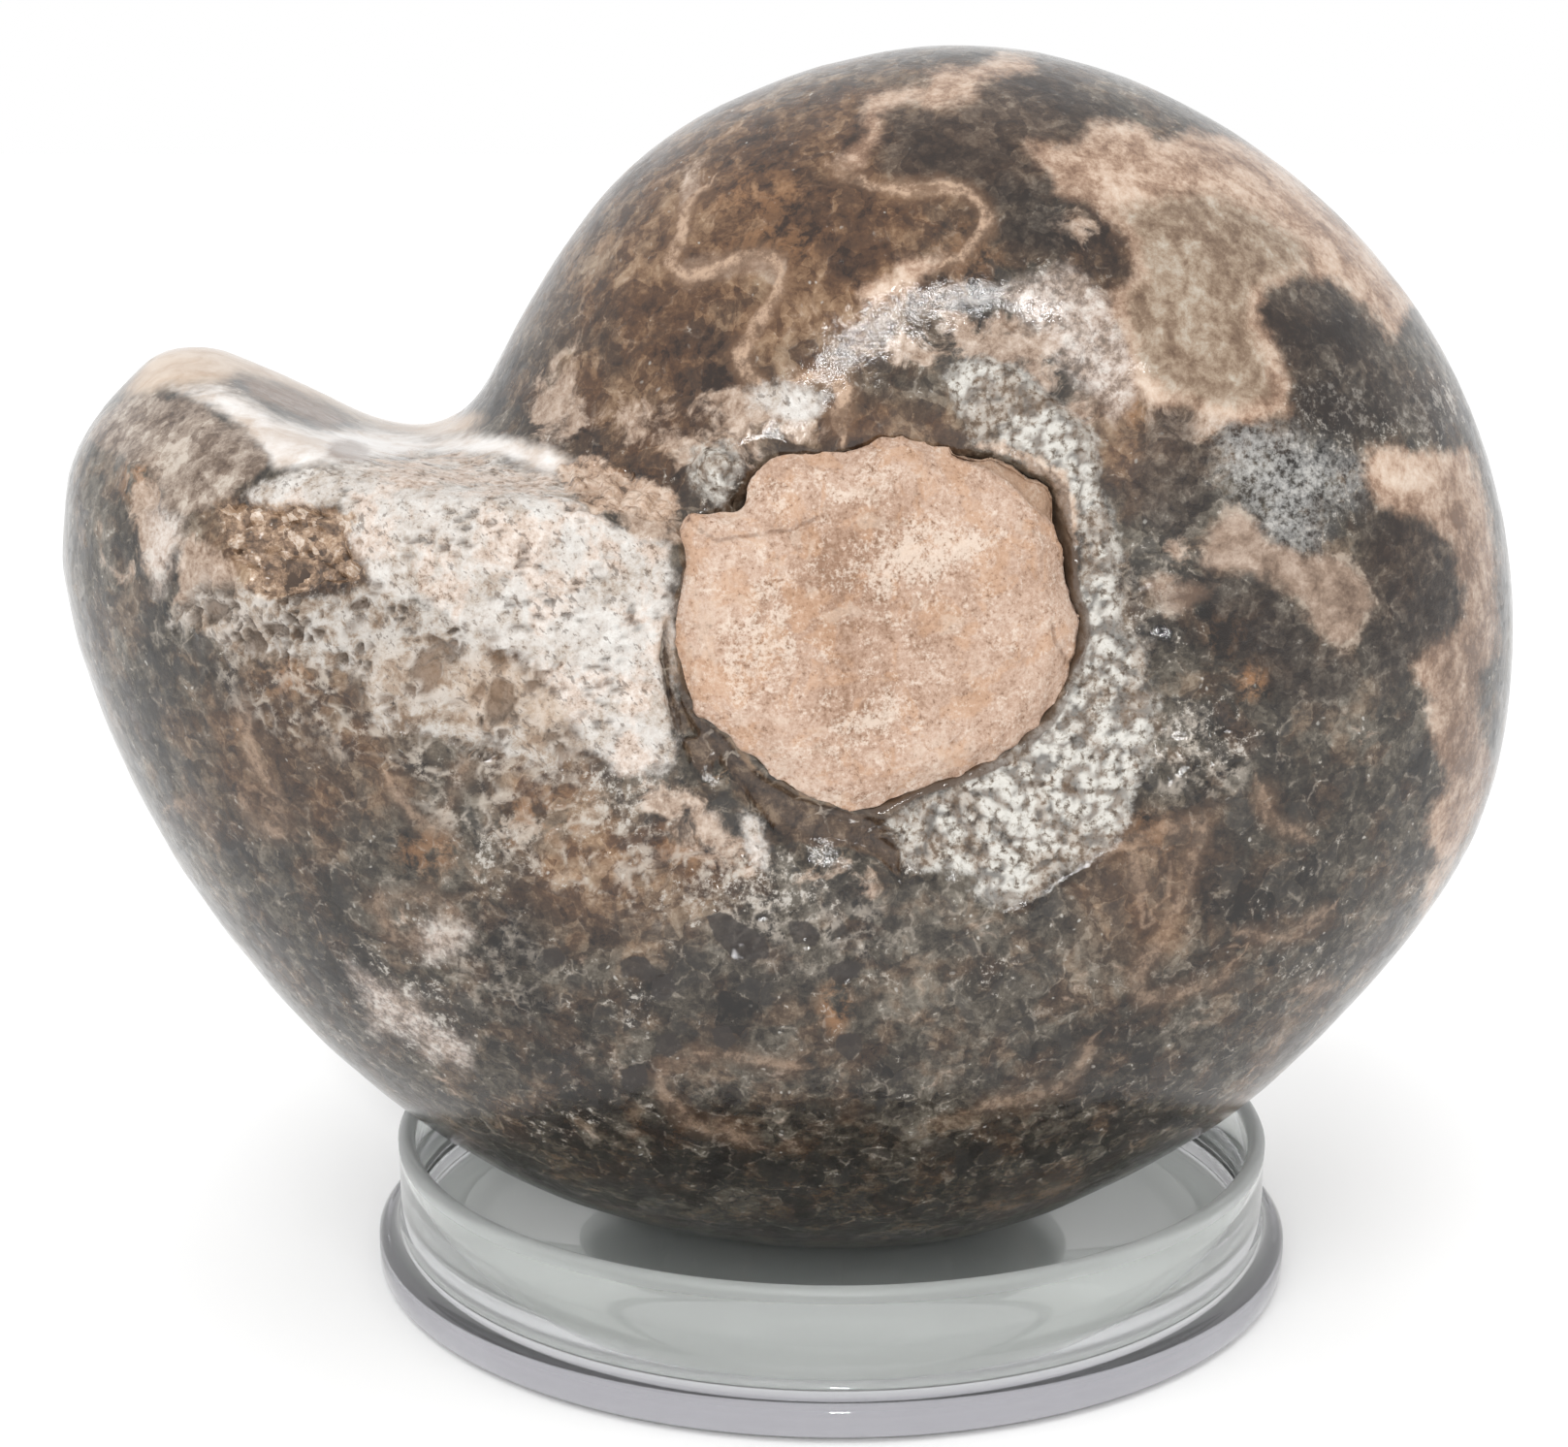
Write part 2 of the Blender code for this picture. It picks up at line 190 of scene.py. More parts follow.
crumbMarks = [
    [(570, 478), (612, 470), (648, 486), (688, 503), (700, 522), (692, 540), (652, 530), (612, 522),
     (584, 504)],
    [(1009, 462), (1030, 455), (1060, 468), (1096, 488), (1104, 512), (1110, 560), (1103, 566), (1095, 520),
     (1086, 496), (1052, 478), (1024, 464)],
]
chipMarks = [
    [(728, 945), (745, 941), (790, 968), (794, 990), (757, 990), (738, 970)],
    [(812, 951), (835, 950), (847, 965), (840, 978), (818, 972)],
    [(851, 998), (872, 993), (893, 994), (880, 1012), (862, 1016)],
    [(636, 990), (665, 988), (676, 1000), (668, 1012), (642, 1008)],
    [(672, 1004), (693, 1006), (697, 1022), (684, 1034), (672, 1026)],
    [(734, 1060), (752, 1058), (760, 1072), (748, 1086), (736, 1076)],
    [(676, 1070), (694, 1066), (704, 1080), (690, 1092), (676, 1084)],
    [(640, 1104), (664, 1098), (668, 1116), (650, 1128), (640, 1118)],
    [(864, 1066), (884, 1066), (892, 1082), (876, 1094), (862, 1084)],
    [(560, 980), (576, 976), (584, 990), (572, 1000), (560, 994)],
]
plugOutline = [
    (706, 528), (716, 524), (731, 522), (750, 522), (763, 513), (768, 501), (780, 487), (794, 475),
    (815, 465), (849, 467), (873, 464), (894, 455), (922, 449), (956, 455), (984, 461), (1011, 464),
    (1030, 464), (1053, 475), (1087, 494), (1096, 509), (1099, 534), (1104, 558), (1105, 585), (1109, 613),
    (1117, 633), (1118, 654), (1112, 678), (1108, 692), (1097, 716), (1084, 740), (1063, 761), (1039, 782),
    (1011, 795), (980, 806), (949, 816), (922, 830), (898, 836), (880, 838), (853, 831), (829, 820),
    (798, 803), (780, 786), (760, 768), (739, 751), (722, 741), (711, 723), (701, 699), (694, 675),
    (691, 647), (694, 620), (697, 592), (696, 566), (699, 544),
]
ledgeMarks = [
    [(984, 450), (1030, 456), (1053, 468), (1090, 488), (1104, 509), (1110, 570), (1102, 570), (1092, 541),
     (1066, 519), (1049, 499), (1018, 479), (984, 466)],
]
crackLines = [
    [(701, 527), (720, 545), (739, 557), (763, 553), (787, 549), (815, 546), (842, 534)],
    [(1087, 644), (1089, 661), (1098, 674), (1108, 687), (1113, 672), (1116, 650)],
    [(1100, 545), (1104, 575), (1108, 602), (1116, 630), (1118, 644), (1113, 675), (1106, 693)],
]
# soft ovals: (across, down, half width, half height, turn in degrees, strength), in pixels
bloomSpots = [
    (940, 575, 90, 34, -10, 1.0), (790, 660, 40, 60, 20, 0.8), (900, 740, 60, 24, -30, 0.6),
    (880, 500, 60, 20, 0, 0.5),
]
softSpots = {
    "warm": [
        (790, 250, 270, 170, -30, 1.0), (1010, 130, 130, 70, 0, 0.9), (690, 400, 160, 100, 0, 0.8),
        (1230, 300, 130, 160, -20, 0.7), (300, 565, 110, 55, 10, 0.8), (640, 905, 120, 75, 0, 0.7),
        (560, 800, 70, 60, 0, 0.6), (1180, 920, 80, 90, 30, 0.5), (320, 760, 110, 130, 60, 0.5),
        (490, 690, 90, 55, 0, 0.6), (1450, 580, 50, 60, 0, 0.4), (880, 440, 120, 40, 0, 0.6),
        (1170, 440, 60, 90, -20, 0.6), (1030, 420, 70, 40, 30, 0.4),
    ],
    "shade": [
        (790, 150, 65, 36, 20, 0.9), (862, 236, 62, 40, 0, 1.0), (720, 375, 55, 60, 0, 0.9),
        (640, 470, 66, 30, 30, 0.9), (1010, 180, 90, 50, 0, 0.6), (1115, 232, 66, 40, 30, 0.8),
        (990, 245, 50, 40, 0, 0.4), (1370, 380, 80, 75, 50, 0.8), (1450, 600, 60, 90, 0, 0.8),
        (1260, 645, 66, 50, 0, 0.9), (1320, 690, 70, 40, 0, 0.7), (1200, 495, 50, 60, 0, 0.6),
        (700, 1045, 90, 55, 0, 0.7), (620, 1110, 120, 60, 30, 0.6), (560, 960, 80, 60, 0, 0.6),
        (760, 1190, 220, 60, 5, 0.6), (900, 1120, 170, 60, 0, 0.5), (1030, 1200, 210, 40, -10, 0.5),
        (760, 850, 60, 50, 45, 0.4), (1180, 1080, 130, 80, -35, 0.4), (1330, 900, 120, 120, -50, 0.35),
        (160, 690, 30, 90, -8, 0.4), (330, 960, 60, 130, -30, 0.35), (1210, 830, 70, 50, 0, 0.6),
        (880, 430, 40, 20, 0, 0.4), (1000, 400, 40, 24, 20, 0.5), (650, 360, 40, 60, 30, 0.3),
        (1515, 690, 50, 210, -4, 0.9), (900, 225, 90, 40, 10, 0.7), (1090, 110, 70, 34, 20, 0.6),
        (320, 590, 60, 24, 12, 1.0), (215, 800, 50, 90, -20, 0.5),
    ],
    "chalk": [
        (738, 488, 42, 34, 0, 1.0), (640, 830, 60, 60, 0, 0.9), (790, 912, 95, 40, 8, 0.9),
        (706, 922, 52, 34, 0, 0.9), (526, 888, 70, 44, 10, 0.7), (450, 965, 50, 36, 0, 0.5),
        (425, 1040, 80, 46, 35, 0.8), (1248, 758, 66, 44, 0, 0.8), (1330, 500, 100, 70, 20, 0.7),
        (1017, 1010, 30, 22, 0, 0.9), (654, 1028, 36, 30, 0, 0.7), (580, 1156, 50, 26, 0, 0.5),
        (940, 322, 70, 34, 10, 0.5), (1090, 320, 70, 70, 0, 0.6), (820, 408, 60, 32, 0, 0.6),
        (560, 760, 70, 60, 30, 0.5), (1190, 640, 50, 80, 0, 0.4), (1340, 990, 60, 40, 0, 0.4),
        (880, 1000, 60, 40, 0, 0.3), (350, 640, 160, 60, 0, 0.6), (130, 440, 50, 30, 0, 0.5),
        (1390, 424, 90, 34, 16, 1.0), (1478, 425, 36, 40, 0, 1.0), (930, 890, 30, 20, 0, 0.9),
        (980, 350, 120, 50, 10, 0.35),
    ],
    "crust": [
        (520, 810, 130, 80, 20, 1.0), (700, 905, 150, 56, 10, 1.0), (330, 720, 150, 66, 20, 0.8),
        (1232, 780, 80, 60, 0, 0.7), (500, 990, 130, 80, 30, 0.5), (600, 870, 120, 60, 0, 0.9),
        (830, 960, 130, 60, 0, 0.6), (230, 640, 90, 50, 0, 0.7), (1180, 620, 60, 90, 0, 0.5),
        (400, 660, 110, 70, 0, 0.9),
    ],
    "veil": [
        (1030, 350, 90, 36, 14, 1.0), (940, 362, 60, 24, 0, 0.8), (1100, 400, 50, 40, 40, 0.8),
        (575, 425, 46, 50, 30, 0.9), (700, 440, 80, 40, 10, 0.8), (735, 470, 60, 34, 0, 0.8),
        (715, 850, 74, 36, 40, 0.9), (870, 905, 60, 26, 10, 0.7), (150, 545, 30, 60, 0, 0.9),
        (1235, 430, 60, 30, 0, 0.7), (1110, 235, 50, 34, 20, 0.6), (640, 330, 40, 60, 20, 0.4),
        (720, 190, 30, 40, 20, 0.5), (1225, 590, 40, 40, 0, 0.6), (820, 445, 60, 20, 0, 0.5),
        (672, 536, 44, 30, 20, 1.0), (760, 418, 60, 30, 0, 1.0), (205, 600, 40, 50, 0, 0.9),
    ],
    "blush": [
        (470, 486, 150, 26, 6, 1.0), (645, 550, 60, 34, 20, 1.0), (575, 720, 50, 60, 0, 1.0),
        (660, 680, 40, 90, 0, 0.5), (505, 560, 70, 30, 0, 0.4), (425, 560, 60, 50, 0, 0.6),
        (510, 715, 50, 44, 0, 1.0), (650, 775, 40, 24, 0, 0.8), (590, 610, 40, 26, 0, 0.5),
        (420, 700, 60, 40, 0, 0.5), (230, 640, 60, 30, 0, 0.4),
    ],
    "gap": [
        (1106, 600, 26, 130, -4, 1.0), (1075, 745, 44, 40, 0, 0.8), (975, 812, 110, 22, -20, 0.9),
        (765, 500, 30, 26, 0, 0.7), (1085, 490, 40, 24, 35, 0.6), (700, 720, 20, 50, 15, 0.5),
    ],
    "orange": [
        (590, 835, 44, 26, 0, 0.5), (1292, 700, 18, 24, 0, 0.9), (300, 540, 60, 30, 10, 0.8),
        (150, 495, 30, 30, 0, 0.9), (480, 680, 50, 30, 0, 0.7), (640, 505, 60, 26, 20, 0.9),
        (800, 250, 60, 26, 0, 0.5), (780, 200, 60, 30, 0, 0.5), (910, 300, 40, 16, 0, 0.6),
        (1270, 650, 26, 26, 0, 0.5), (540, 850, 40, 30, 0, 0.6), (760, 880, 36, 22, 20, 0.6),
        (1180, 860, 60, 26, 0, 0.4), (290, 690, 40, 30, 0, 0.7), (440, 880, 36, 26, 0, 0.6),
        (1000, 260, 40, 40, 30, 0.4), (1170, 410, 40, 60, -20, 0.5), (860, 1040, 18, 30, 0, 0.8),
        (700, 870, 30, 30, 0, 0.6), (330, 540, 60, 30, 0, 0.5),
    ],
}
# where the open end's outline stands higher or lower than the solid's, as a share of the lift
liftSpots = [(235, 385, 120, 50, 8, 1.0), (75, 470, 30, 50, 0, 0.9)]
dropSpots = [(425, 440, 75, 34, 8, 1.0)]
# a soft swelling of the fossil; the last value is its height in mm
swellSpots = [(1116, 414, 64, 28, 50, 0.4)]
# (across, down, radius in pixels, height in mm; minus sinks)
bumpSpots = [
    (738, 486, 34, 0.75), (781, 470, 15, -0.9), (706, 470, 12, -0.4), (760, 520, 12, -0.5),
    (151, 512, 13, -0.7), (140, 480, 24, 0.25), (598, 500, 14, 0.35), (630, 505, 13, 0.35),
    (662, 518, 12, 0.3), (615, 522, 9, -0.4), (646, 488, 9, -0.35), (875, 280, 12, -0.35),
    (1090, 330, 70, 0.3), (758, 966, 26, -0.3), (830, 963, 18, -0.35), (872, 1003, 18, -0.3),
    (654, 999, 17, -0.3), (684, 1016, 14, -0.25), (560, 690, 20, 0.2), (1120, 690, 16, -0.3),
]


def addCamera(view):
    data = bpy.data.cameras.new("photoCamera")
    data.sensor_width = view["sensorMm"]
    data.lens = view["focalPixels"] / view["width"] * view["sensorMm"]
    camera = bpy.data.objects.new("photoCamera", data)
    camera.location = view["place"]
    camera.rotation_euler = (math.radians(90.0 - view["pitch"]), 0.0, 0.0)
    bpy.context.scene.collection.objects.link(camera)
    bpy.context.scene.camera = camera


def toPixels(points, view):
    # where points of the model fall in the photograph
    pitch = math.radians(view["pitch"])
    forward = np.array([0.0, math.cos(pitch), -math.sin(pitch)])
    upward = np.array([0.0, math.sin(pitch), math.cos(pitch)])
    offset = points - np.array(view["place"])
    depth = offset @ forward
    across = view["width"] / 2 + view["focalPixels"] * offset[:, 0] / depth
    down = view["height"] / 2 - view["focalPixels"] * (offset @ upward) / depth
    return np.stack([across, down], 1)


def edgeDistance(pixels, start, end):
    # distance to one stretch, and which side of it a point is on
    along = end - start
    offset = pixels - start
    share = np.clip(offset @ along / max(along @ along, 1e-9), 0.0, 1.0)
    away = offset - share[:, None] * along
    side = along[0] * offset[:, 1] - along[1] * offset[:, 0]
    return np.hypot(away[:, 0], away[:, 1]), side


def outlineField(pixels, outlines):
    # distance in pixels to the nearest outline, positive inside it
    best = np.full(len(pixels), -1e6)
    for outline in outlines:
        corners = np.array(outline, float)
        nearest = np.full(len(pixels), 1e6)
        inside = np.zeros(len(pixels), bool)
        for start, end in zip(corners, np.roll(corners, -1, 0)):
            nearest = np.minimum(nearest, edgeDistance(pixels, start, end)[0])
            crosses = (start[1] > pixels[:, 1]) != (end[1] > pixels[:, 1])
            rise = end[1] - start[1] if abs(end[1] - start[1]) > 1e-9 else 1e-9
            reach = start[0] + (pixels[:, 1] - start[1]) * (end[0] - start[0]) / rise
            inside ^= crosses & (pixels[:, 0] < reach)
        best = np.maximum(best, np.where(inside, nearest, -nearest))
    return best


def lineField(pixels, lines):
    # signed distance to the nearest line, so that a thin line stays whole between vertices
    nearest = np.full(len(pixels), 1e6)
    signed = np.full(len(pixels), 1e6)
    for line in lines:
        points = np.array(line, float)
        for start, end in zip(points, points[1:]):
            away, side = edgeDistance(pixels, start, end)
            closer = away < nearest
            nearest = np.where(closer, away, nearest)
            signed = np.where(closer, np.where(side < 0, -away, away), signed)
    return signed, nearest


def smoothStep(low, high, values):
    share = np.clip((values - low) / (high - low), 0.0, 1.0)
    return share * share * (3.0 - 2.0 * share)


def spotField(pixels, spots):
    # soft oval patches, the strongest wherever they meet
    total = np.zeros(len(pixels))
    for across, down, wide, high, turn, strength in spots:
        angle = math.radians(turn)
        offset = pixels - np.array([across, down])
        along = (offset[:, 0] * math.cos(angle) + offset[:, 1] * math.sin(angle)) / wide
        beside = (offset[:, 1] * math.cos(angle) - offset[:, 0] * math.sin(angle)) / high
        total = np.maximum(total, strength * smoothStep(1.35, 0.35, np.hypot(along, beside)))
    return total


def noiseAt(points, sizeMm, shift=0.0):
    # smooth noise about zero whose features are this many millimetres across
    return np.array([noise.noise(Vector(p)) for p in points / (sizeMm * mm) + shift])


def noisesAt(points, sizeMm, shifts):
    return np.stack([noiseAt(points, sizeMm, shift) for shift in shifts], 1)


def cellsAt(points, sizeMm, shift=0.0):
    # distance to the nearest and second nearest of scattered points, and the offset from the nearest
    near, second, offsets = [], [], []
    for p in points / (sizeMm * mm) + shift:
        distances, centres = noise.voronoi(Vector(p))
        near.append(distances[0])
        second.append(distances[1])
        offsets.append(Vector(p) - centres[0])
    return np.array(near), np.array(second), np.array(offsets)


print("helpers ready")

# materials are built from a few node shortcuts, which add their nodes to the tree kept here
graph = {}


def startMaterial(name):
    material = bpy.data.materials.new(name)
    material.use_nodes = True
    graph["tree"] = material.node_tree
    return material, material.node_tree.nodes["Principled BSDF"]


def plug(value, socket):
    if isinstance(value, bpy.types.NodeSocket):
        graph["tree"].links.new(value, socket)
    else:
        socket.default_value = value


def putNode(kind, inputs=None, **settings):
    node = graph["tree"].nodes.new(kind)
    for key, value in settings.items():
        setattr(node, key, value)
    for key, value in (inputs or {}).items():
        plug(value, node.inputs[key])
    return node


def maths(operation, *values):
    return putNode("ShaderNodeMath", dict(enumerate(values)), operation=operation).outputs[0]


def vectorMaths(operation, *values, output="Vector"):
    return putNode("ShaderNodeVectorMath", dict(enumerate(values)), operation=operation).outputs[output]


def colour(red, green, blue):
    # a colour as an eye reads it on a screen, 0 to 255
    linear = [c / 255 / 12.92 if c <= 10 else ((c / 255 + 0.055) / 1.055) ** 2.4 for c in (red, green, blue)]
    return (*linear, 1.0)


def placeMm(stretch=(1.0, 1.0, 1.0)):
    coords = putNode("ShaderNodeTexCoord").outputs["Object"]
    inputs = {"Vector": coords, "Scale": [1000.0 * share for share in stretch]}
    return putNode("ShaderNodeMapping", inputs).outputs["Vector"]


def cloud(place, sizeMm, detail=4.0, roughness=0.6, distortion=0.0):
    inputs = {"Vector": place, "Scale": 1.0 / sizeMm, "Detail": detail, "Roughness": roughness,
              "Distortion": distortion}
    return putNode("ShaderNodeTexNoise", inputs).outputs["Fac"]


def bend(place, sizeMm, reach):
    # the place, pushed about by a noise
    drift = putNode("ShaderNodeTexNoise", {"Vector": place, "Scale": 1.0 / sizeMm, "Detail": 3.0})
    return vectorMaths("MULTIPLY_ADD", drift.outputs["Color"], (reach, reach, reach), place)


def cells(place, sizeMm, output="Distance", feature="F1"):
    inputs = {"Vector": place, "Scale": 1.0 / sizeMm}
    return putNode("ShaderNodeTexVoronoi", inputs, feature=feature).outputs[output]


def fade(value, low, high, first=0.0, last=1.0):
    inputs = {"Value": value, "From Min": low, "From Max": high, "To Min": first, "To Max": last}
    return putNode("ShaderNodeMapRange", inputs, interpolation_type="SMOOTHSTEP").outputs["Result"]


def times(first, *values):
    for value in values:
        first = maths("MULTIPLY", first, value)
    return first


def plus(first, *values):
    for value in values:
        first = maths("ADD", first, value)
    return first


def blend(*parts):
    # values added up, each followed by its share
    return plus(*[times(value, share) for value, share in zip(parts[::2], parts[1::2])])


def layer(under, share, over):
    # one colour laid over another; three numbers stand for a plain colour
    node = putNode("ShaderNodeMix", data_type="RGBA")
    for value, number in ((share, 0), (under, 6), (over, 7)):
        plug(colour(*value) if isinstance(value, tuple) else value, node.inputs[number])
    return node.outputs[2]


def tones(value, *stops):
    # a ramp of colours: each stop is the value at which it stands, then red, green and blue
    node = putNode("ShaderNodeValToRGB", {"Fac": value})
    points = node.color_ramp.elements
    while len(points) < len(stops):
        points.new(0.5)
    for point, (place, *shade) in zip(points, stops):
        point.position = place
        point.color = colour(*shade)
    return node.outputs["Color"]


def mark(name):
    # a marking kept on the vertices: its distance in millimetres or its share
    return putNode("ShaderNodeAttribute", attribute_name=name).outputs["Fac"]


def wobbleOf(place, sizeMm, reach, detail=4.0):
    return maths("MULTIPLY_ADD", cloud(place, sizeMm, detail, 0.65), 2.0 * reach, -reach)


def ragged(name, wobble, width):
    # a marking's share, its edge broken up by a noise and as soft as the width, in millimetres
    return fade(plus(mark(name), wobble), -width, width)


# the fossil: its solid copied, remeshed fine, then roughened where the polish doesn't reach

ammoniteLook = {
    "voxelMm": 0.78, "smoothings": 8, "rimSmoothings": 2,
    "sharpReach": 1.3,          # how near the hole's rim the mesh is smoothed less, mm
    "nearRefine": 0.9,          # how far past a rough zone the mesh is refined, mm
    "grainSink": 0.35, "grainBumps": 0.20, "creamPits": 0.26, "netPits": 0.45, "crumbs": 0.28,
    "crustPits": 0.15, "pocketSink": 0.5, "pocketCrystals": 0.55, "grooveSink": 0.7, "waviness": 0.12,
    "rimReach": (-15.0, -10.0),  # the hole's rim past the plug's outline in pixels, where closed and open
    "endLift": 0.55,
    "backWarp": 3.5,            # how far the hidden side's markings stray from the near side's, mm
    "backTurn": 16.0,           # and how far they turn about the coil's axis, degrees
}


def copyNode(node, name):
    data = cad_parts[node].data.copy()
    work = bmesh.new()
    work.from_mesh(data)
    bmesh.ops.remove_doubles(work, verts=work.verts, dist=0.002 * mm)
    work.to_mesh(data)
    work.free()
    data.materials.clear()
    piece = bpy.data.objects.new(name, data)
    bpy.context.scene.collection.objects.link(piece)
    return piece


def remeshFine(piece, voxel):
    net = piece.modifiers.new("net", "REMESH")
    net.mode = "VOXEL"
    net.voxel_size = voxel
    evaluated = piece.evaluated_get(bpy.context.evaluated_depsgraph_get())
    made = bpy.data.meshes.new_from_object(evaluated)
    piece.modifiers.clear()
    piece.data = made


def smoothMesh(piece, chosen, rounds):
    work = bmesh.new()
    work.from_mesh(piece.data)
    work.verts.ensure_lookup_table()
    verts = [vert for vert in work.verts if chosen[vert.index]]
    everyWay = {"use_axis_x": True, "use_axis_y": True, "use_axis_z": True}
    for _ in range(rounds):
        bmesh.ops.smooth_vert(work, verts=verts, factor=0.5, **everyWay)
    work.to_mesh(piece.data)
    work.free()


def refineMesh(piece, chosen):
    # halves the mesh's edges where it is chosen
    work = bmesh.new()
    work.from_mesh(piece.data)
    edges = [edge for edge in work.edges if all(chosen[vert.index] for vert in edge.verts)]
    bmesh.ops.subdivide_edges(work, edges=edges, cuts=1, use_grid_fill=True)
    work.to_mesh(piece.data)
    work.free()


def readPoints(data):
    points = np.empty(len(data.vertices) * 3)
    data.vertices.foreach_get("co", points)
    normals = np.empty(len(data.vertices) * 3)
    data.vertices.foreach_get("normal", normals)
    return points.reshape(-1, 3), normals.reshape(-1, 3)


def writePoints(data, points):
    data.vertices.foreach_set("co", points.ravel())
    data.update()


def polar(pixels, middle):
    offset = pixels - middle
    return np.arctan2(offset[:, 1], offset[:, 0]), np.hypot(offset[:, 0], offset[:, 1])


def rimRadius(pixels, middle, bins=90, spread=3):
    # the solid plug's reach from its middle, by direction, evened out over a few directions
    angle, reach = polar(pixels, middle)
    number = ((angle + math.pi) / (2 * math.pi) * bins).astype(int) % bins
    radius = np.array([reach[number == i].max() if (number == i).any() else np.nan for i in range(bins)])
    known = ~np.isnan(radius)
    radius = np.interp(np.arange(bins), np.arange(bins)[known], radius[known], period=bins)
    return sum(np.roll(radius, turn) for turn in range(-spread, spread + 1)) / (2 * spread + 1)


def outlineRadius(outline, middle, bins=90):
    # the drawn outline's reach at the middle of each of those directions
    angle, reach = polar(outlineSamples(outline), middle)
    order = np.argsort(angle)
    wanted = (np.arange(bins) + 0.5) / bins * 2 * math.pi - math.pi
    return np.interp(wanted, angle[order], reach[order], period=2 * math.pi)


def outlineSamples(outline, step=2.0):
    corners = np.array(outline, float)
    samples = []
    for start, end in zip(corners, np.roll(corners, -1, 0)):
        count = max(2, int(np.hypot(*(end - start)) / step))
        samples += [start + (end - start) * i / count for i in range(count)]
    return np.array(samples)


def plugWarp(piece, view, farther=0.40):
    # how the plug's drawn outline differs from the solid's, by direction; the pull on what lies round it
    # dies out at this share of the plug's radius past its rim
    points, normals = readPoints(piece.data)
    front = points[normals[:, 1] < -0.2]
    middle = np.array(plugOutline, float).mean(0)
    solid = rimRadius(toPixels(front, view), middle)
    drawn = outlineRadius(plugOutline, middle)
    warp = {"middle": middle, "solid": solid, "drawn": drawn, "view": view, "farther": farther}
    for _ in range(2):  # measured again after each pull, and corrected
        pulled = pullToOutline(front, warp, (0.0, 0.0))
        short = drawn - rimRadius(toPixels(pulled, view), middle, spread=0)
        warp["drawn"] = warp["drawn"] + (np.roll(short, 1) + short + np.roll(short, -1)) / 3
    return warp


def pullToOutline(points, warp, spread):
    # moves what lies near the plug's rim sideways, so that the rim follows the drawn outline
    view = warp["view"]
    pixels = toPixels(points, view)
    angle, reach = polar(pixels, warp["middle"])
    bins = np.arange(len(warp["solid"]))
    angle = (angle + math.pi) / (2 * math.pi) * len(bins) - 0.5
    solid = np.interp(angle, bins, warp["solid"], period=len(bins))
    drawn = np.interp(angle, bins, warp["drawn"], period=len(bins))
    reach = np.maximum(reach, 1.0)
    share = reach / solid
    hold = np.where(share < 1.0, share ** 3, smoothStep(1.0 + warp["farther"], 1.02, share))
    spread = spread[0] + (spread[1] - spread[0]) * spotField(pixels, softSpots["gap"])
    shift = (drawn + spread - solid) * hold / reach * smoothStep(-6.0 * mm, -10.0 * mm, points[:, 1])
    offset = (pixels - warp["middle"]) * (shift * mm / view["pixelsPerMmAtPlug"])[:, None]
    moved = points.copy()
    moved[:, 0] += offset[:, 0]
    moved[:, 2] -= offset[:, 1] / math.cos(math.radians(view["pitch"]))
    return moved


markOutlines = {
    "peach": peachMarks, "lobe": lobeMarks, "cream": creamMarks, "net": netMarks, "grain": grainMarks,
    "dark": darkMarks, "blue": blueMarks, "pale": paleMarks, "pocket": pocketMarks, "facet": facetMarks,
    "spot": spotMarks, "groove": grooveMarks, "lip": lipMarks, "band": bandMarks, "swirl": swirlMarks,
    "crumb": crumbMarks, "chip": chipMarks, "rim": [plugOutline],
}
nearOnly = ("pocket", "facet", "chip", "spot", "crumb")
openZones = ("cream", "net", "grain", "pocket", "groove", "crumb", "chip")
farOff = -150.0  # pixels, well outside any outline


def sightings(points, normals, view, warp, backTurn):
    # where each point lies in the drawing of the markings; the hidden side mirrors the near one, and strays
    towards = np.array(view["place"]) - points
    towards /= np.linalg.norm(towards, axis=1)[:, None]
    facing = (normals * towards).sum(1)
    wander = points[:, 1] + 4.0 * mm * noiseAt(points, 7.0, 5.0)
    hidden = smoothStep(0.05, -0.30, facing) * smoothStep(0.0, 6.0 * mm, wander)
    mirrored = points.copy()
    mirrored[:, 1] = -np.abs(mirrored[:, 1])
    strays = noisesAt(points, 13.0, (3.1, 17.7, 41.3)) + 0.35 * noisesAt(points, 4.0, (5.3, 11.9, 29.1))
    mirrored += strays * warp * mm * smoothStep(0.0, 10.0 * mm, points[:, 1])[:, None]
    low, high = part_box("matrix_plug_front")
    axis = 0.5 * (np.array(low) + np.array(high))
    angle = math.radians(backTurn) * smoothStep(0.0, 14.0 * mm, points[:, 1])
    across, up = mirrored[:, 0] - axis[0], mirrored[:, 2] - axis[2]
    mirrored[:, 0] = axis[0] + across * np.cos(angle) - up * np.sin(angle)
    mirrored[:, 2] = axis[2] + across * np.sin(angle) + up * np.cos(angle)
    return toPixels(points, view), toPixels(mirrored, view), hidden


def markAll(piece, view, look):
    # each marking becomes a smooth distance in millimetres at every vertex, each soft spot a share
    points, normals = readPoints(piece.data)
    seen, mirrored, hidden = sightings(points, normals, view, look["backWarp"], look["backTurn"])
    fields = {"hidden": hidden}
    for name, shapes in markOutlines.items():
        near = outlineField(seen, shapes)
        far = farOff if name in nearOnly else outlineField(mirrored, shapes)
        fields[name] = (near * (1.0 - hidden) + far * hidden) / view["pixelsPerMm"]
    for name, lines in (("suture", sutureLines), ("faint", faintLines)):
        for ending, near, far in zip(("", "Near"), lineField(seen, lines), lineField(mirrored, lines)):
            fields[name + ending] = np.where(hidden < 0.5, near, far) / view["pixelsPerMm"]
    for name, spots in softSpots.items():
        fields[name] = spotField(seen, spots) * (1.0 - hidden) + spotField(mirrored, spots) * hidden
    return fields


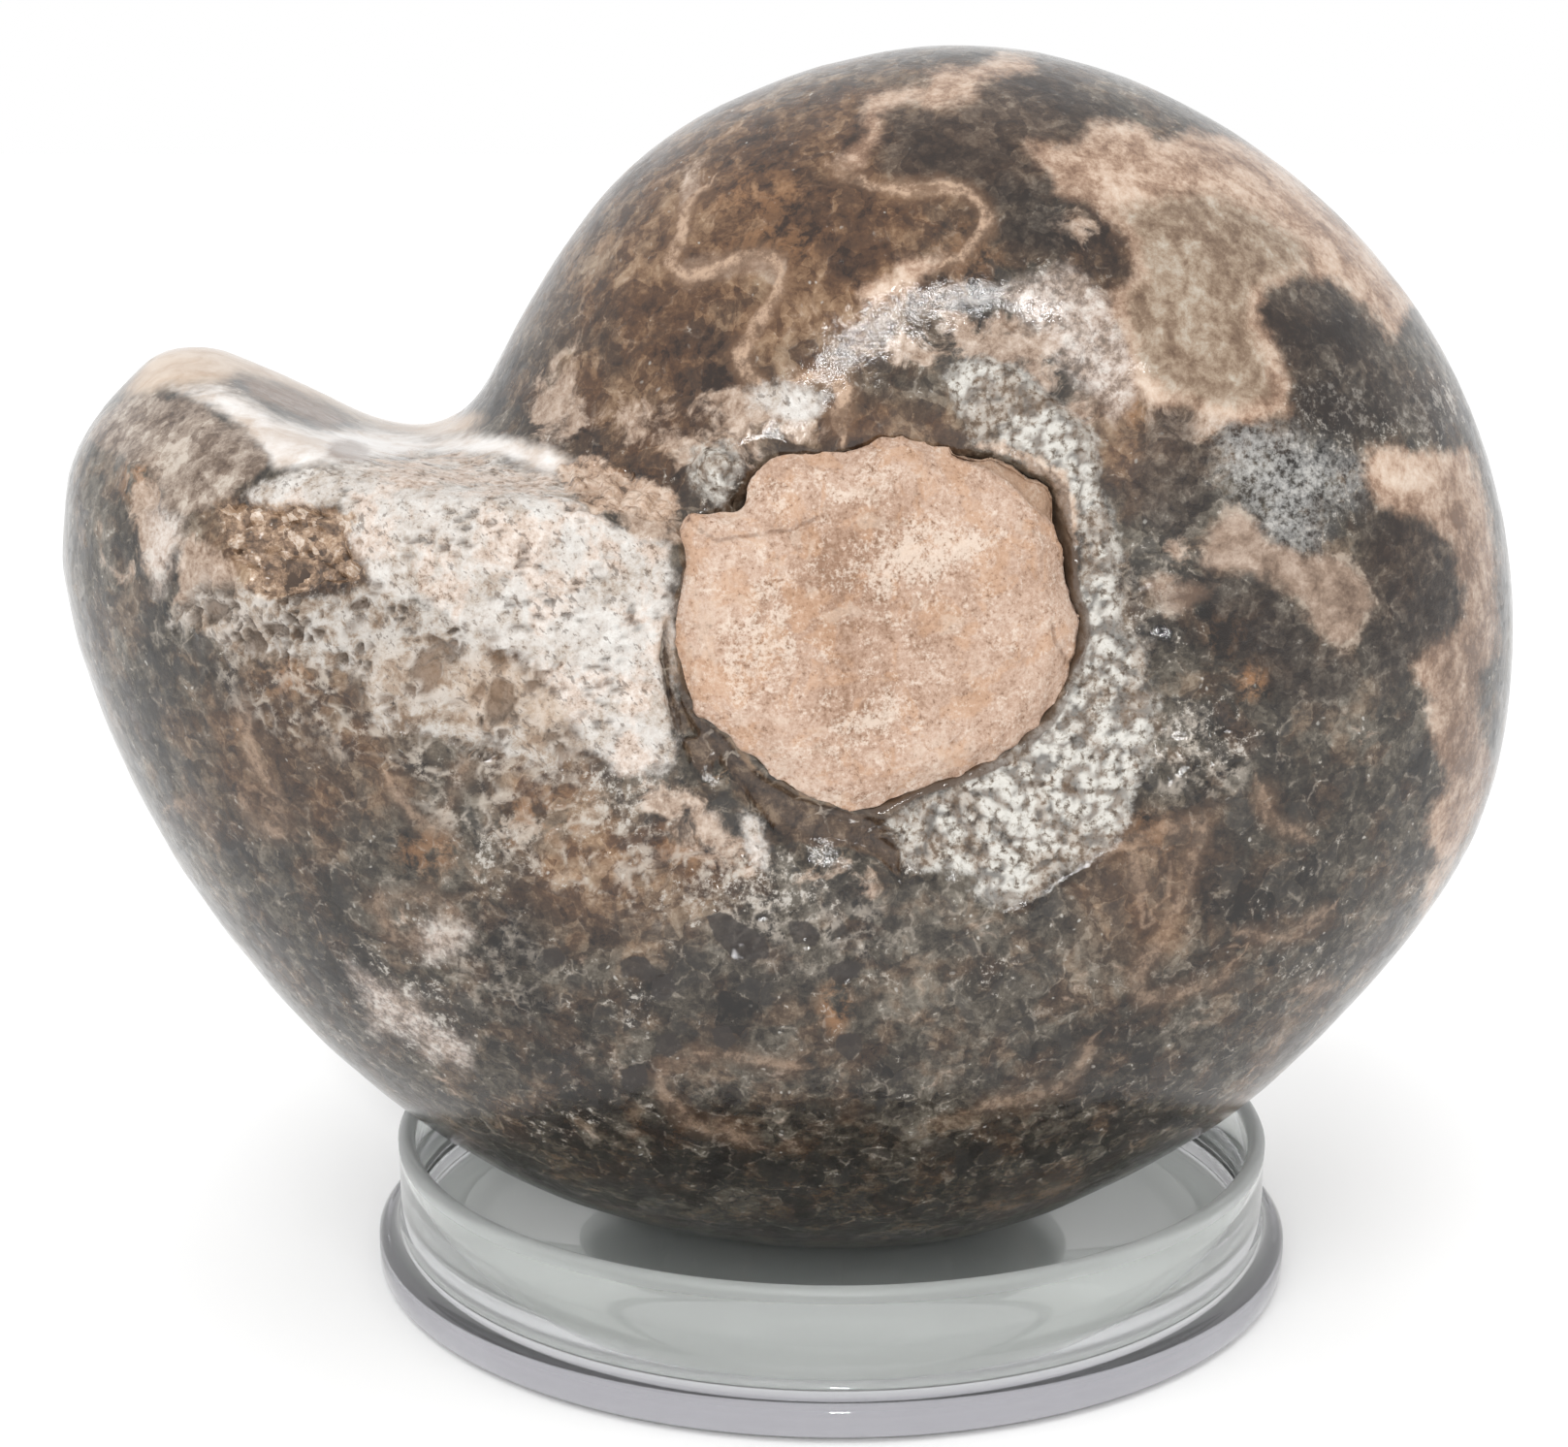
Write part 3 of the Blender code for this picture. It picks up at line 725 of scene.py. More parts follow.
def storeFields(data, fields, limit=20.0):
    for name, values in fields.items():
        kept = data.attributes.get(name) or data.attributes.new(name, "FLOAT", "POINT")
        kept.data.foreach_set("value", np.clip(values, -limit, limit).astype(np.float32))


def inZone(points, values, low, high):
    # the numbers of the points that lie in a zone, how far each lies in it, and the points
    share = smoothStep(low, high, values)
    chosen = np.where(share > 0.01)[0]
    return chosen, share[chosen], points[chosen]


def carveAmmonite(piece, fields, view, look):
    # sinks each point along its normal by what the zones it lies in ask for
    points, normals = readPoints(piece.data)
    nearSide = 1.0 - fields["hidden"]
    depth = look["waviness"] * (0.5 + 0.5 * noiseAt(points, 9.0) + 0.35 * noiseAt(points, 3.5, 4.0))
    # painted shade: how much darker each pit is to be painted, more where it is carved deeper
    dark = np.zeros(len(points))

    chosen, share, spot = inZone(points, fields["grain"], -0.5, 0.6)
    rough = cellsAt(spot, 0.75)[0] * 1.9 - 0.55 + 0.5 * noiseAt(spot, 0.4)
    depth[chosen] += share * (look["grainSink"] + look["grainBumps"] * rough)
    dark[chosen] += share * smoothStep(0.30, 0.75, rough)

    chosen, share, spot = inZone(points, fields["cream"], -0.7, 0.6)
    near = cellsAt(spot * np.array([0.55, 1.0, 1.2]), 0.56)[0]
    pits = smoothStep(0.46, 0.20, near) * (0.2 + 0.8 * smoothStep(-0.20, 0.30, noiseAt(spot, 2.0, 7.0)))
    depth[chosen] += share * look["creamPits"] * (pits + 0.45 * noiseAt(spot, 0.9, 2.0))
    dark[chosen] += share * pits * 0.8

    chosen, share, spot = inZone(points, fields["net"], -1.0, 0.5)
    drifted = spot + 0.35 * mm * noiseAt(spot, 0.9, 6.0)[:, None]
    near, second, _ = cellsAt(drifted * np.array([0.85, 1.0, 1.15]), 0.85, 5.0)
    wide, wider, _ = cellsAt(drifted * np.array([1.0, 1.0, 0.8]), 1.9, 1.0)
    small = smoothStep(0.08, 0.40, second - near) * smoothStep(-0.20, 0.25, noiseAt(spot, 1.8, 3.0))
    large = smoothStep(0.06, 0.22, wider - wide) * smoothStep(0.02, 0.16, noiseAt(spot, 3.0, 8.0))
    depth[chosen] += share * look["netPits"] * np.maximum(small, large)
    dark[chosen] += share * np.maximum(small, large)

    chosen, share, spot = inZone(points, fields["crust"], 0.25, 0.75)
    near, second, _ = cellsAt(spot + 1.5 * mm * noisesAt(spot, 2.2, (9.0, 23.0, 37.0)), 1.35, 4.0)
    whole = smoothStep(-0.30, 0.10, noiseAt(spot, 1.5, 12.0))
    depth[chosen] += share * look["crustPits"] * smoothStep(0.05, 0.34, second - near) * whole
    fields["wall"] = np.zeros(len(points))
    fields["wall"][chosen] = share * (1.0 - smoothStep(0.04, 0.24, second - near)) * (0.25 + 0.75 * whole)

    chosen, share, spot = inZone(points, fields["pocket"], -0.1, 0.6)
    tilt = cellsAt(spot * np.array([0.8, 1.0, 1.4]), 1.1, 2.0)[2] @ np.array([0.7, 0.2, -0.9])
    depth[chosen] += share * (look["pocketSink"] + look["pocketCrystals"] * tilt)

    chosen, share, spot = inZone(points, fields["crumb"], -0.3, 0.3)
    near, second, _ = cellsAt(spot, 0.9, 8.0)
    raised = smoothStep(0.05, 0.35, second - near) - 0.5
    depth[chosen] -= share * nearSide[chosen] * look["crumbs"] * raised

    depth += smoothStep(-0.35, 0.35, fields["groove"]) * look["grooveSink"]
    pixels = toPixels(points, view)
    depth -= spotField(pixels, swellSpots) * nearSide
    for across, down, radius, height in bumpSpots:
        away = np.hypot(pixels[:, 0] - across, pixels[:, 1] - down) / radius
        depth -= height * smoothStep(1.1, 0.25, away) * nearSide
    low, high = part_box("ammonite")
    writePoints(piece.data, np.clip(points - normals * (depth * mm)[:, None], np.array(low), np.array(high)))
    # the painted pit shade, kept on the vertices for the material
    fields["pitShade"] = np.clip(dark, 0.0, 1.0)
    return fields


def shellMaterial():
    material, shader = startMaterial("polishedCalcite")
    place = placeMm()
    bent = bend(place, 1.8, 1.5)
    broad = cloud(place, 8.0, 3.0, 0.55, 0.4)
    mottle = cloud(bent, 3.4, 6.0, 0.66, 0.5)
    clots = cloud(bent, 1.15, 5.0, 0.70)
    grit = cloud(place, 0.42, 4.0, 0.78)
    crystal = cells(bent, 1.7, "Color")
    grainlet = cells(bend(place, 0.5, 0.35), 0.55, "Color")
    seam = cells(bent, 1.7, feature="DISTANCE_TO_EDGE")
    warmth, shade, blush = mark("warm"), mark("shade"), mark("blush")

    # the ground: clots of darker and paler crystal, grey-brown below and warm brown above
    value = blend(mottle, 0.44, clots, 0.34, crystal, 0.12, grainlet, 0.10)
    value = plus(value, times(plus(grit, -0.5), plus(times(warmth, -0.16), 0.28)))
    value = plus(value, times(shade, -0.085), times(broad, 0.14))
    greyGround = tones(value, (0.42, 18, 16, 14), (0.47, 32, 29, 25), (0.535, 48, 45, 39),
                       (0.585, 69, 65, 57), (0.64, 87, 83, 75), (0.74, 116, 112, 103))
    warmGround = tones(value, (0.42, 42, 27, 18), (0.47, 64, 43, 29), (0.535, 82, 57, 38),
                       (0.585, 107, 80, 57), (0.64, 132, 105, 80), (0.74, 162, 139, 114))
    warm = times(warmth, fade(broad, 0.30, 0.55, 0.60, 1.0))
    warm = plus(warm, fade(cloud(bent, 2.6, 3.0), 0.46, 0.64, 0.08, 0.40))
    ground = layer(greyGround, warm, warmGround)
    ground = layer(ground, times(mark("orange"), fade(clots, 0.42, 0.60), 0.8), (150, 108, 72))

    # pale seams between the crystals, broken up, dark crystals and a few glints
    cool = plus(times(warmth, -0.75), 1.0)
    facet = times(fade(crystal, 0.60, 0.64), fade(seam, 0.02, 0.07), fade(mottle, 0.54, 0.46))
    ground = layer(ground, times(facet, cool, 0.55), (44, 41, 39))
    thin = times(fade(seam, 0.07, 0.01), fade(clots, 0.50, 0.62), cool, 0.32)
    ground = layer(ground, thin, (160, 150, 138))
    glint = times(fade(cells(bent, 0.75), 0.20, 0.08), fade(cells(bent, 0.75, "Color"), 0.64, 0.72))
    ground = layer(ground, times(glint, fade(mottle, 0.44, 0.56), 0.7), (176, 172, 165))

    # chalky white speckle, then a thin tan veil
    speck = plus(blend(grit, 0.50, clots, 0.50, mark("chalk"), 0.095, cool, 0.03), -0.03)
    ground = layer(ground, fade(speck, 0.590, 0.670, 0.0, 0.80), (180, 174, 166))
    veilTone = tones(blend(clots, 0.6, grit, 0.4), (0.38, 122, 98, 80), (0.48, 164, 142, 124),
                     (0.60, 196, 178, 163))
    veilShare = fade(plus(times(mark("veil"), 0.30), mottle), 0.62, 0.76)
    ground = layer(ground, times(veilShare, 0.85), veilTone)

    # dark, blue-grey and pale places
    edge = plus(wobbleOf(place, 1.7, 0.8, 5.0), wobbleOf(place, 0.5, 0.45))
    darkTone = tones(value, (0.48, 30, 21, 16), (0.56, 52, 43, 36), (0.63, 80, 72, 64),
                     (0.72, 120, 113, 104))
    ground = layer(ground, times(ragged("dark", edge, 0.85), 0.72), darkTone)
    dusty = fade(blend(grit, 0.6, clots, 0.4), 0.40, 0.56)
    ground = layer(ground, times(ragged("blue", edge, 1.7), dusty, 0.70), (164, 163, 160))
    pale = times(ragged("pale", edge, 0.8), plus(times(dusty, 0.6), 0.4))
    paleTone = tones(clots, (0.40, 168, 150, 136), (0.52, 190, 176, 166), (0.62, 204, 196, 188))
    ground = layer(ground, times(pale, 0.88), paleTone)

    # the peach matrix, the browner swirl in it and the lobes with their faint rims
    phase = times(wobbleOf(place, 2.4, 1.6), 3.5)
    flow = times(maths("SINE", plus(times(mark("peach"), 3.4), phase)), 0.016)
    peachValue = plus(blend(mottle, 0.5, grit, 0.25, clots, 0.25), flow, times(shade, -0.07))
    peachTone = tones(peachValue, (0.40, 120, 92, 73), (0.47, 158, 130, 109), (0.53, 188, 163, 143),
                      (0.62, 206, 188, 171))
    ground = layer(ground, times(ragged("peach", edge, 0.50), plus(times(shade, -0.30), 0.94)), peachTone)
    flow = maths("SINE", plus(times(mark("swirl"), 4.4), phase))
    swirlTone = tones(blend(clots, 0.40, grit, 0.20, mottle, 0.40, flow, 0.026), (0.38, 82, 62, 47),
                      (0.46, 112, 92, 74), (0.53, 140, 122, 103), (0.62, 168, 158, 144))
    ground = layer(ground, times(ragged("swirl", edge, 0.7), 0.9), swirlTone)
    lobeTone = tones(peachValue, (0.40, 98, 78, 64), (0.50, 142, 120, 103), (0.60, 178, 158, 142))
    ground = layer(ground, times(ragged("lobe", edge, 0.55), 0.85), lobeTone)
    lobeRim = fade(maths("ABSOLUTE", plus(mark("lobe"), edge)), 0.28, 0.06)
    ground = layer(ground, times(lobeRim, fade(mottle, 0.50, 0.60), 0.45), (176, 162, 146))

    # suture lines: a soft brown margin round a broken tan thread, strong above and faint below
    stray = plus(wobbleOf(place, 1.5, 0.45), wobbleOf(place, 0.35, 0.14, 2.0))
    patchy = times(fade(cloud(place, 1.6, 4.0, 0.7), 0.40, 0.58, 0.20, 1.0),
                   fade(blend(grit, 0.5, clots, 0.5), 0.40, 0.54, 0.35, 1.0))
    for name, strength in (("suture", 1.0), ("faint", 0.42)):
        line = maths("ABSOLUTE", plus(mark(name), stray))
        line = plus(line, wobbleOf(place, 0.9, 0.26), wobbleOf(place, 3.2, 0.55, 3.0))
        close = times(fade(mark(name + "Near"), 1.5, 0.9), strength)
        ground = layer(ground, times(fade(line, 1.20, 0.40), close, 0.50), (104, 77, 56))
        ground = layer(ground, times(fade(line, 0.56, 0.12), close, patchy, 0.92), (178, 151, 128))
        core = times(fade(line, 0.10, 0.0), close, fade(mottle, 0.52, 0.60), 0.5)
        ground = layer(ground, core, (112, 86, 66))

    # a pale crust that fills the seams between brown crystals below the bulge
    wall = times(mark("wall"), fade(plus(clots, times(grit, 0.6)), 0.68, 0.86))
    ground = layer(ground, times(wall, 0.68), (176, 166, 154))

    # round the open end: the far lip, the smooth band, the brown facet and spots
    lipTone = tones(mottle, (0.38, 176, 150, 126), (0.60, 202, 184, 166))
    ground = layer(ground, ragged("lip", wobbleOf(place, 2.0, 0.5), 0.6), lipTone)
    bandTone = tones(mottle, (0.36, 192, 175, 160), (0.50, 215, 207, 200), (0.62, 228, 224, 220))
    ground = layer(ground, ragged("band", wobbleOf(place, 1.6, 0.6), 0.5), bandTone)
    facetTone = tones(value, (0.44, 78, 60, 48), (0.53, 116, 98, 84), (0.62, 158, 142, 128),
                      (0.70, 190, 178, 165))
    ground = layer(ground, times(ragged("facet", edge, 0.35), 0.85), facetTone)
    ground = layer(ground, times(ragged("spot", wobbleOf(place, 1.0, 0.3), 0.3), 0.9), (112, 86, 66))

    # the cream bulge and the white net below it, dark in their pits
    creamTone = tones(blend(mottle, 0.45, clots, 0.25, grit, 0.30), (0.38, 140, 120, 103),
                      (0.44, 174, 162, 150), (0.50, 196, 189, 182), (0.60, 214, 211, 206))
    tan = fade(plus(cloud(bent, 3.0, 5.0, 0.65), times(blush, 0.14)), 0.52, 0.66, 0.0, 0.80)
    tanTone = tones(blend(clots, 0.5, grit, 0.5), (0.38, 152, 126, 106), (0.48, 197, 177, 162),
                    (0.60, 222, 211, 202))
    cream = ragged("cream", plus(edge, wobbleOf(place, 3.0, 1.0)), 0.45)
    ground = layer(ground, cream, layer(creamTone, tan, tanTone))
    netTone = tones(clots, (0.36, 120, 98, 78), (0.46, 162, 148, 134), (0.56, 190, 184, 177))
    netTone = layer(netTone, times(blush, 0.55), (194, 170, 148))
    net = ragged("net", plus(edge, wobbleOf(place, 2.4, 1.3)), 0.4)
    ground = layer(ground, times(net, 0.9), netTone)
    openPale = maths("MAXIMUM", cream, net)
    slanted = {"Vector": place, "Rotation": (0.0, math.radians(48), 0.0), "Scale": (2.0, 1.0, 1.0)}
    slanted = putNode("ShaderNodeMapping", slanted, vector_type="TEXTURE").outputs["Vector"]
    slot = plus(cloud(bend(slanted, 0.4, 0.15), 0.36, 3.0, 0.65), times(cloud(place, 2.6, 3.0), 0.35))
    slot = fade(plus(slot, -0.175), 0.575, 0.66)
    ground = layer(ground, times(slot, openPale, 0.62), (92, 80, 70))
    freckle = fade(blend(grit, 0.7, clots, 0.3), 0.43, 0.36)
    ground = layer(ground, times(freckle, openPale, 0.70), (104, 90, 78))

    # salt-and-pepper grains round the plug, and painted shade in every pit
    grain = ragged("grain", plus(edge, wobbleOf(place, 2.5, 1.1)), 0.5)
    salt = plus(blend(cloud(place, 0.36, 4.0, 0.72), 0.6, mottle, 0.2, cells(place, 0.46), -0.20), 0.219)
    grainTone = tones(salt, (0.36, 58, 50, 44), (0.42, 106, 97, 87), (0.465, 160, 153, 143),
                      (0.53, 203, 200, 193))
    grainTone = layer(grainTone, times(fade(mottle, 0.50, 0.40), 0.45), (128, 104, 82))
    ground = layer(ground, grain, grainTone)
    # painted shade: the carved pits drawn darker, in a warmer brown where the stone is warm
    pitShadeTone = tones(clots, (0.42, 44, 38, 34), (0.60, 98, 78, 60))
    pitShadeTone = layer(pitShadeTone, times(warmth, fade(mottle, 0.42, 0.56)), (138, 106, 76))
    ground = layer(ground, times(mark("pitShade"), 0.74), pitShadeTone)

    # the crystal pocket, the crumbs, the chips, and the groove by the plug painted dark with the shadow that
    # the plug casts into it
    pocketTone = tones(blend(clots, 0.55, grainlet, 0.20, grit, 0.30, shade, -0.07), (0.40, 72, 56, 44),
                       (0.49, 124, 100, 80), (0.56, 172, 145, 120), (0.66, 224, 210, 196))
    pocket = ragged("pocket", plus(edge, wobbleOf(place, 2.4, 1.1)), 0.25)
    ground = layer(ground, times(pocket, 0.92), pocketTone)
    crumbs = blend(clots, 0.7, grit, 0.3)
    crumbTone = tones(crumbs, (0.38, 100, 81, 66), (0.48, 182, 154, 132), (0.60, 216, 197, 180))
    ground = layer(ground, times(ragged("crumb", edge, 0.25), 0.85), crumbTone)
    ground = layer(ground, times(ragged("chip", wobbleOf(place, 0.6, 0.25, 3.0), 0.08), 0.85), (44, 38, 35))
    margin = times(fade(plus(mark("groove"), edge), -0.60, -0.15), fade(mottle, 0.50, 0.60), 0.5)
    ground = layer(ground, margin, (164, 134, 106))
    # painted shadow: the groove drawn dark where the proud plug shades it, crossed by the stone's pale veins
    grooveShadowTone = tones(crumbs, (0.40, 48, 37, 30), (0.52, 80, 64, 51), (0.64, 124, 106, 88))
    vein = times(fade(seam, 0.06, 0.01), fade(mottle, 0.46, 0.58), 0.6)
    grooveShadowTone = layer(grooveShadowTone, vein, (176, 164, 150))
    ground = layer(ground, ragged("groove", wobbleOf(place, 1.2, 0.3), 0.12), grooveShadowTone)
    # painted shade: a dark line on the shell just outside the plug's rim, strongest where the gap between
    # plug and shell is open
    rimShade = fade(plus(mark("rim"), wobbleOf(place, 0.8, 0.12, 3.0)), -0.36, -0.16)
    ground = layer(ground, times(rimShade, plus(times(mark("gap"), 0.70), 0.10)), (84, 66, 52))
    plug(ground, shader.inputs["Base Color"])

    # rough where the stone is open, glossy where it is polished
    openStone = maths("MAXIMUM", openPale, grain)
    worn = fade(clots, 0.35, 0.68, 0.05, 0.15)
    plug(plus(worn, times(openStone, 0.45)), shader.inputs["Roughness"])
    shader.inputs["IOR"].default_value = 1.56
    shader.inputs["Specular IOR Level"].default_value = 0.42
    blown = fade(maths("MAXIMUM", mark("lip"), mark("band")), -1.5, 0.5, 1.0, 0.25)
    strength = times(fade(openStone, 0.0, 1.0, 0.14, 0.85), blown)
    # each small crystal of the polished stone is tilted a little, so that it glints on its own
    lean = vectorMaths("SUBTRACT", cells(bent, 0.62, "Color"), (0.5, 0.5, 0.5))
    straight = putNode("ShaderNodeNewGeometry").outputs["Normal"]
    lean = vectorMaths("NORMALIZE", vectorMaths("MULTIPLY_ADD", lean, times(blown, 0.06), straight))
    bump = {"Height": blend(grit, 0.6, clots, 0.6, seam, 0.5), "Strength": strength, "Distance": 0.3 * mm,
            "Normal": lean}
    plug(putNode("ShaderNodeBump", bump).outputs["Normal"], shader.inputs["Normal"])
    return material


def liftOpenEnd(piece, view, look):
    points = readPoints(piece.data)[0]
    pixels = toPixels(points, view)
    lift = spotField(pixels, liftSpots) - spotField(pixels, dropSpots)
    points[:, 2] += lift * look["endLift"] * mm
    writePoints(piece.data, points)


def makeAmmonite(look, view, warp):
    piece = copyNode("ammonite", "ammoniteStone")
    remeshFine(piece, look["voxelMm"] * mm)
    liftOpenEnd(piece, view, look)
    sharp = np.abs(markAll(piece, view, look)["rim"]) < look["sharpReach"]
    smoothMesh(piece, ~sharp, look["smoothings"])
    smoothMesh(piece, sharp, look["rimSmoothings"])
    for level in range(2):  # once on both sides, then finer on the near one
        fields = markAll(piece, view, look)
        near = fields["hidden"] < 0.5
        rough = np.max([fields[name] for name in openZones], 0)
        rough = np.maximum(rough, np.where(near, 4.0 * (fields["crust"] - 0.45), -9.0))
        chosen = rough > -look["nearRefine"] / (1 + level)
        refineMesh(piece, chosen & near if level else chosen)
    writePoints(piece.data, pullToOutline(readPoints(piece.data)[0], warp, look["rimReach"]))
    fields = carveAmmonite(piece, markAll(piece, view, look), view, look)
    storeFields(piece.data, fields)
    piece.data.shade_smooth()
    piece.data.materials.append(shellMaterial())
    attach(piece, "root")
    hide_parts("ammonite")
    triangles = sum(len(face.vertices) - 2 for face in piece.data.polygons)
    print("ammonite ready,", triangles, "triangles")


# the sandstone plugs

plugLook = {
    "voxelMm": 0.27, "smoothings": 2, "grain": 0.09, "swell": 0.20, "ledgeSink": 0.40, "crackSink": 0.18,
    "rimWear": 0.25, "pitSink": 0.5,
    "pitPixels": (985, 767),    # the small pit near the near plug's lower edge
    "middleReach": 200.0,       # how far the darker middle reaches, in pixels
    "farOff": 9.0,              # mm, stands for no ledge, crack or pit nearby
    "rimReach": (4.5, -0.4),    # how far the plug reaches past its drawn outline, where closed and open
}


def sandstoneMaterial():
    material, shader = startMaterial("peachSandstone")
    place = placeMm()
    bent = bend(place, 3.0, 2.0)
    big = cloud(bent, 4.0, 6.0, 0.68, 0.3)
    small = cloud(place, 0.60, 4.0, 0.74)
    fine = cloud(place, 0.24, 3.0, 0.75)
    tone = tones(blend(big, 0.35, small, 0.33, fine, 0.32, mark("middle"), -0.062), (0.38, 140, 111, 91),
                 (0.45, 164, 136, 117), (0.51, 181, 154, 136), (0.60, 199, 178, 162))
    ochre = fade(cloud(bent, 2.4, 5.0, 0.65, 0.6), 0.50, 0.60)
    tone = layer(tone, times(ochre, 0.45), (186, 148, 118))
    flecks = fade(blend(cloud(bent, 1.4, 5.0, 0.7), 0.55, fine, 0.45, mark("bloom"), 0.10), 0.515, 0.65)
    tone = layer(tone, times(flecks, 0.62), (216, 202, 188))
    dots = fade(blend(fine, 0.7, small, 0.3), 0.415, 0.37)
    tone = layer(tone, times(dots, 0.60), (114, 90, 72))
    veil = fade(cloud(bent, 2.2, 3.0, 0.6, 1.0), 0.56, 0.66)
    tone = layer(tone, times(veil, 0.35), (204, 186, 170))
    ledge = ragged("ledge", wobbleOf(place, 1.2, 0.3), 0.12)
    tone = layer(tone, times(ledge, 0.55), (150, 122, 98))
    crack = fade(plus(mark("crack"), wobbleOf(place, 0.8, 0.10)), 0.20, 0.05)
    tone = layer(tone, times(crack, 0.45), (96, 72, 56))
    plug(tone, shader.inputs["Base Color"])
    shader.inputs["Roughness"].default_value = 0.86
    shader.inputs["Specular IOR Level"].default_value = 0.3
    bump = {"Height": plus(small, times(fine, 0.6)), "Strength": 0.5, "Distance": 0.22 * mm}
    plug(putNode("ShaderNodeBump", bump).outputs["Normal"], shader.inputs["Normal"])
    return material


def startPlug(node, name, look):
    piece = copyNode(node, name)
    remeshFine(piece, look["voxelMm"] * mm)
    smoothMesh(piece, np.ones(len(piece.data.vertices), bool), look["smoothings"])
    return piece


def finishPlug(piece, node, material, look, view, warp):
    isNear = node.endswith("front")
    if isNear:
        writePoints(piece.data, pullToOutline(readPoints(piece.data)[0], warp, look["rimReach"]))
    points, normals = readPoints(piece.data)
    pixels = toPixels(points, view)
    crack = rim = pit = np.full(len(points), look["farOff"])
    ledge = -crack
    if isNear:
        ledge = outlineField(pixels, ledgeMarks) / view["pixelsPerMm"]
        crack = np.where(normals[:, 1] < 0.2, lineField(pixels, crackLines)[1] / view["pixelsPerMm"], crack)
        rim = outlineField(pixels, [plugOutline]) / view["pixelsPerMm"]
        pit = np.hypot(*(pixels - np.array(look["pitPixels"])).T) / view["pixelsPerMm"]
    middle = smoothStep(0.75, 0.2, np.hypot(*(pixels - warp["middle"]).T) / look["middleReach"])
    depth = look["grain"] * (0.5 + noiseAt(points, 0.7)) + look["swell"] * (0.4 + noiseAt(points, 4.0, 9.0))
    depth += look["ledgeSink"] * smoothStep(-0.25, 0.15, ledge)
    depth += look["crackSink"] * smoothStep(0.35, 0.0, crack)
    depth += look["rimWear"] * smoothStep(1.2, 0.0, rim) * (0.6 + noiseAt(points, 1.1, 3.0))
    depth += look["pitSink"] * smoothStep(0.4, 0.0, pit)
    points = points - normals * (np.maximum(depth, 0.0) * mm)[:, None]
    writePoints(piece.data, points)
    bloom = spotField(pixels, bloomSpots) if isNear else 0.5 + noiseAt(points, 5.0, 6.0)
    storeFields(piece.data, {"ledge": ledge, "crack": crack, "middle": middle, "bloom": bloom})
    piece.data.shade_smooth()
    piece.data.materials.append(material)
    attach(piece, "root")
    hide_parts(node)
    print(piece.name, "ready,", len(piece.data.polygons), "faces")


# the clear dish

dishLook = {
    "segments": 192, "flangeRadius": 30.0, "flangeHeight": 2.1, "wallRadius": 28.5, "wallThickness": 0.9,
    "rimHeight": 8.6, "rimBead": 0.55, "floorThickness": 1.4, "rounding": 0.35, "cove": 0.9,
    "wallTint": (252, 255, 253), "flangeTint": (186, 185, 191), "clear": 0.88,
    "roughness": 0.02, "haze": 0.015, "rimFrost": 0.35,
}


def dishMaterial(look):
    material, shader = startMaterial("clearPlastic")
    shader.inputs["Transmission Weight"].default_value = look["clear"]
    shader.inputs["IOR"].default_value = 1.49
    place = placeMm()
    across = vectorMaths("LENGTH", placeMm((1.0, 1.0, 0.0)), output="Value")
    flange = fade(across, look["wallRadius"], look["wallRadius"] + 0.8)
    plug(layer(look["wallTint"], flange, look["flangeTint"]), shader.inputs["Base Color"])
    frost = fade(cloud(place, 6.0, 3.0), 0.35, 0.70, look["roughness"], look["roughness"] + look["haze"])
    heightMm = putNode("ShaderNodeSeparateXYZ", {"Vector": place}).outputs["Z"]
    rim = fade(heightMm, look["rimHeight"] - 1.1, look["rimHeight"] - 0.7, 0.0, look["rimFrost"])
    plug(plus(frost, rim), shader.inputs["Roughness"])
    return material


def roundRim(radius, top, bead, steps=8):
    # the rounded top of the wall in section, from its outer side over to its inner one
    turns = [math.pi * (i / steps * 1.2 - 0.1) for i in range(steps + 1)]
    return [(radius + bead * math.cos(turn), top - bead + bead * math.sin(turn)) for turn in turns]


def makeDish(look):
    outer, wall = look["flangeRadius"], look["wallRadius"]
    top, base = look["flangeHeight"], look["floorThickness"]
    inner = wall - look["wallThickness"]
    soft = look["rounding"]
    cove = look["cove"]
    profile = [
        (0.0, 0.0), (outer - soft, 0.0), (outer, soft), (outer, top - soft), (outer - soft, top),
        (wall + cove, top), (wall + 0.5 * cove, top + 0.2 * cove), (wall + 0.15 * cove, top + 0.6 * cove),
        (wall, top + 1.4 * cove),
        *roundRim(wall - 0.5 * look["wallThickness"], look["rimHeight"], look["rimBead"]),
        (inner, base + 2 * soft), (inner - 2 * soft, base), (0.0, base),
    ]
    work = bmesh.new()
    verts = [work.verts.new((radius * mm, 0.0, height * mm)) for radius, height in profile]
    edges = [work.edges.new(pair) for pair in zip(verts, verts[1:])]
    bmesh.ops.spin(work, geom=verts + edges, cent=(0, 0, 0), axis=(0, 0, 1), angle=2 * math.pi,
                   steps=look["segments"], use_merge=True)
    bmesh.ops.remove_doubles(work, verts=work.verts, dist=0.005 * mm)
    bmesh.ops.recalc_face_normals(work, faces=work.faces)
    data = bpy.data.meshes.new("clearDish")
    work.to_mesh(data)
    work.free()
    data.shade_smooth()
    data.set_sharp_from_angle(angle=math.radians(50))
    data.materials.append(dishMaterial(look))
    piece = bpy.data.objects.new("clearDish", data)
    bpy.context.scene.collection.objects.link(piece)
    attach(piece, "root")
    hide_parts("display_dish")
    print("dish ready")


# floor and light

studio = {
    "worldStrength": 1.0, "floorTone": (254, 254, 254), "floorReach": 6.0, "floorDrop": 0.0002,
    "sun": {"from": (-0.25, -0.75, 1.0), "strength": 0.80, "spreadDegrees": 35.0},
    "lamp": {"at": (0.008, -0.42, 0.205), "aim": (0.0, 0.0, 0.042), "size": (0.036, 0.020), "power": 0.50},
}


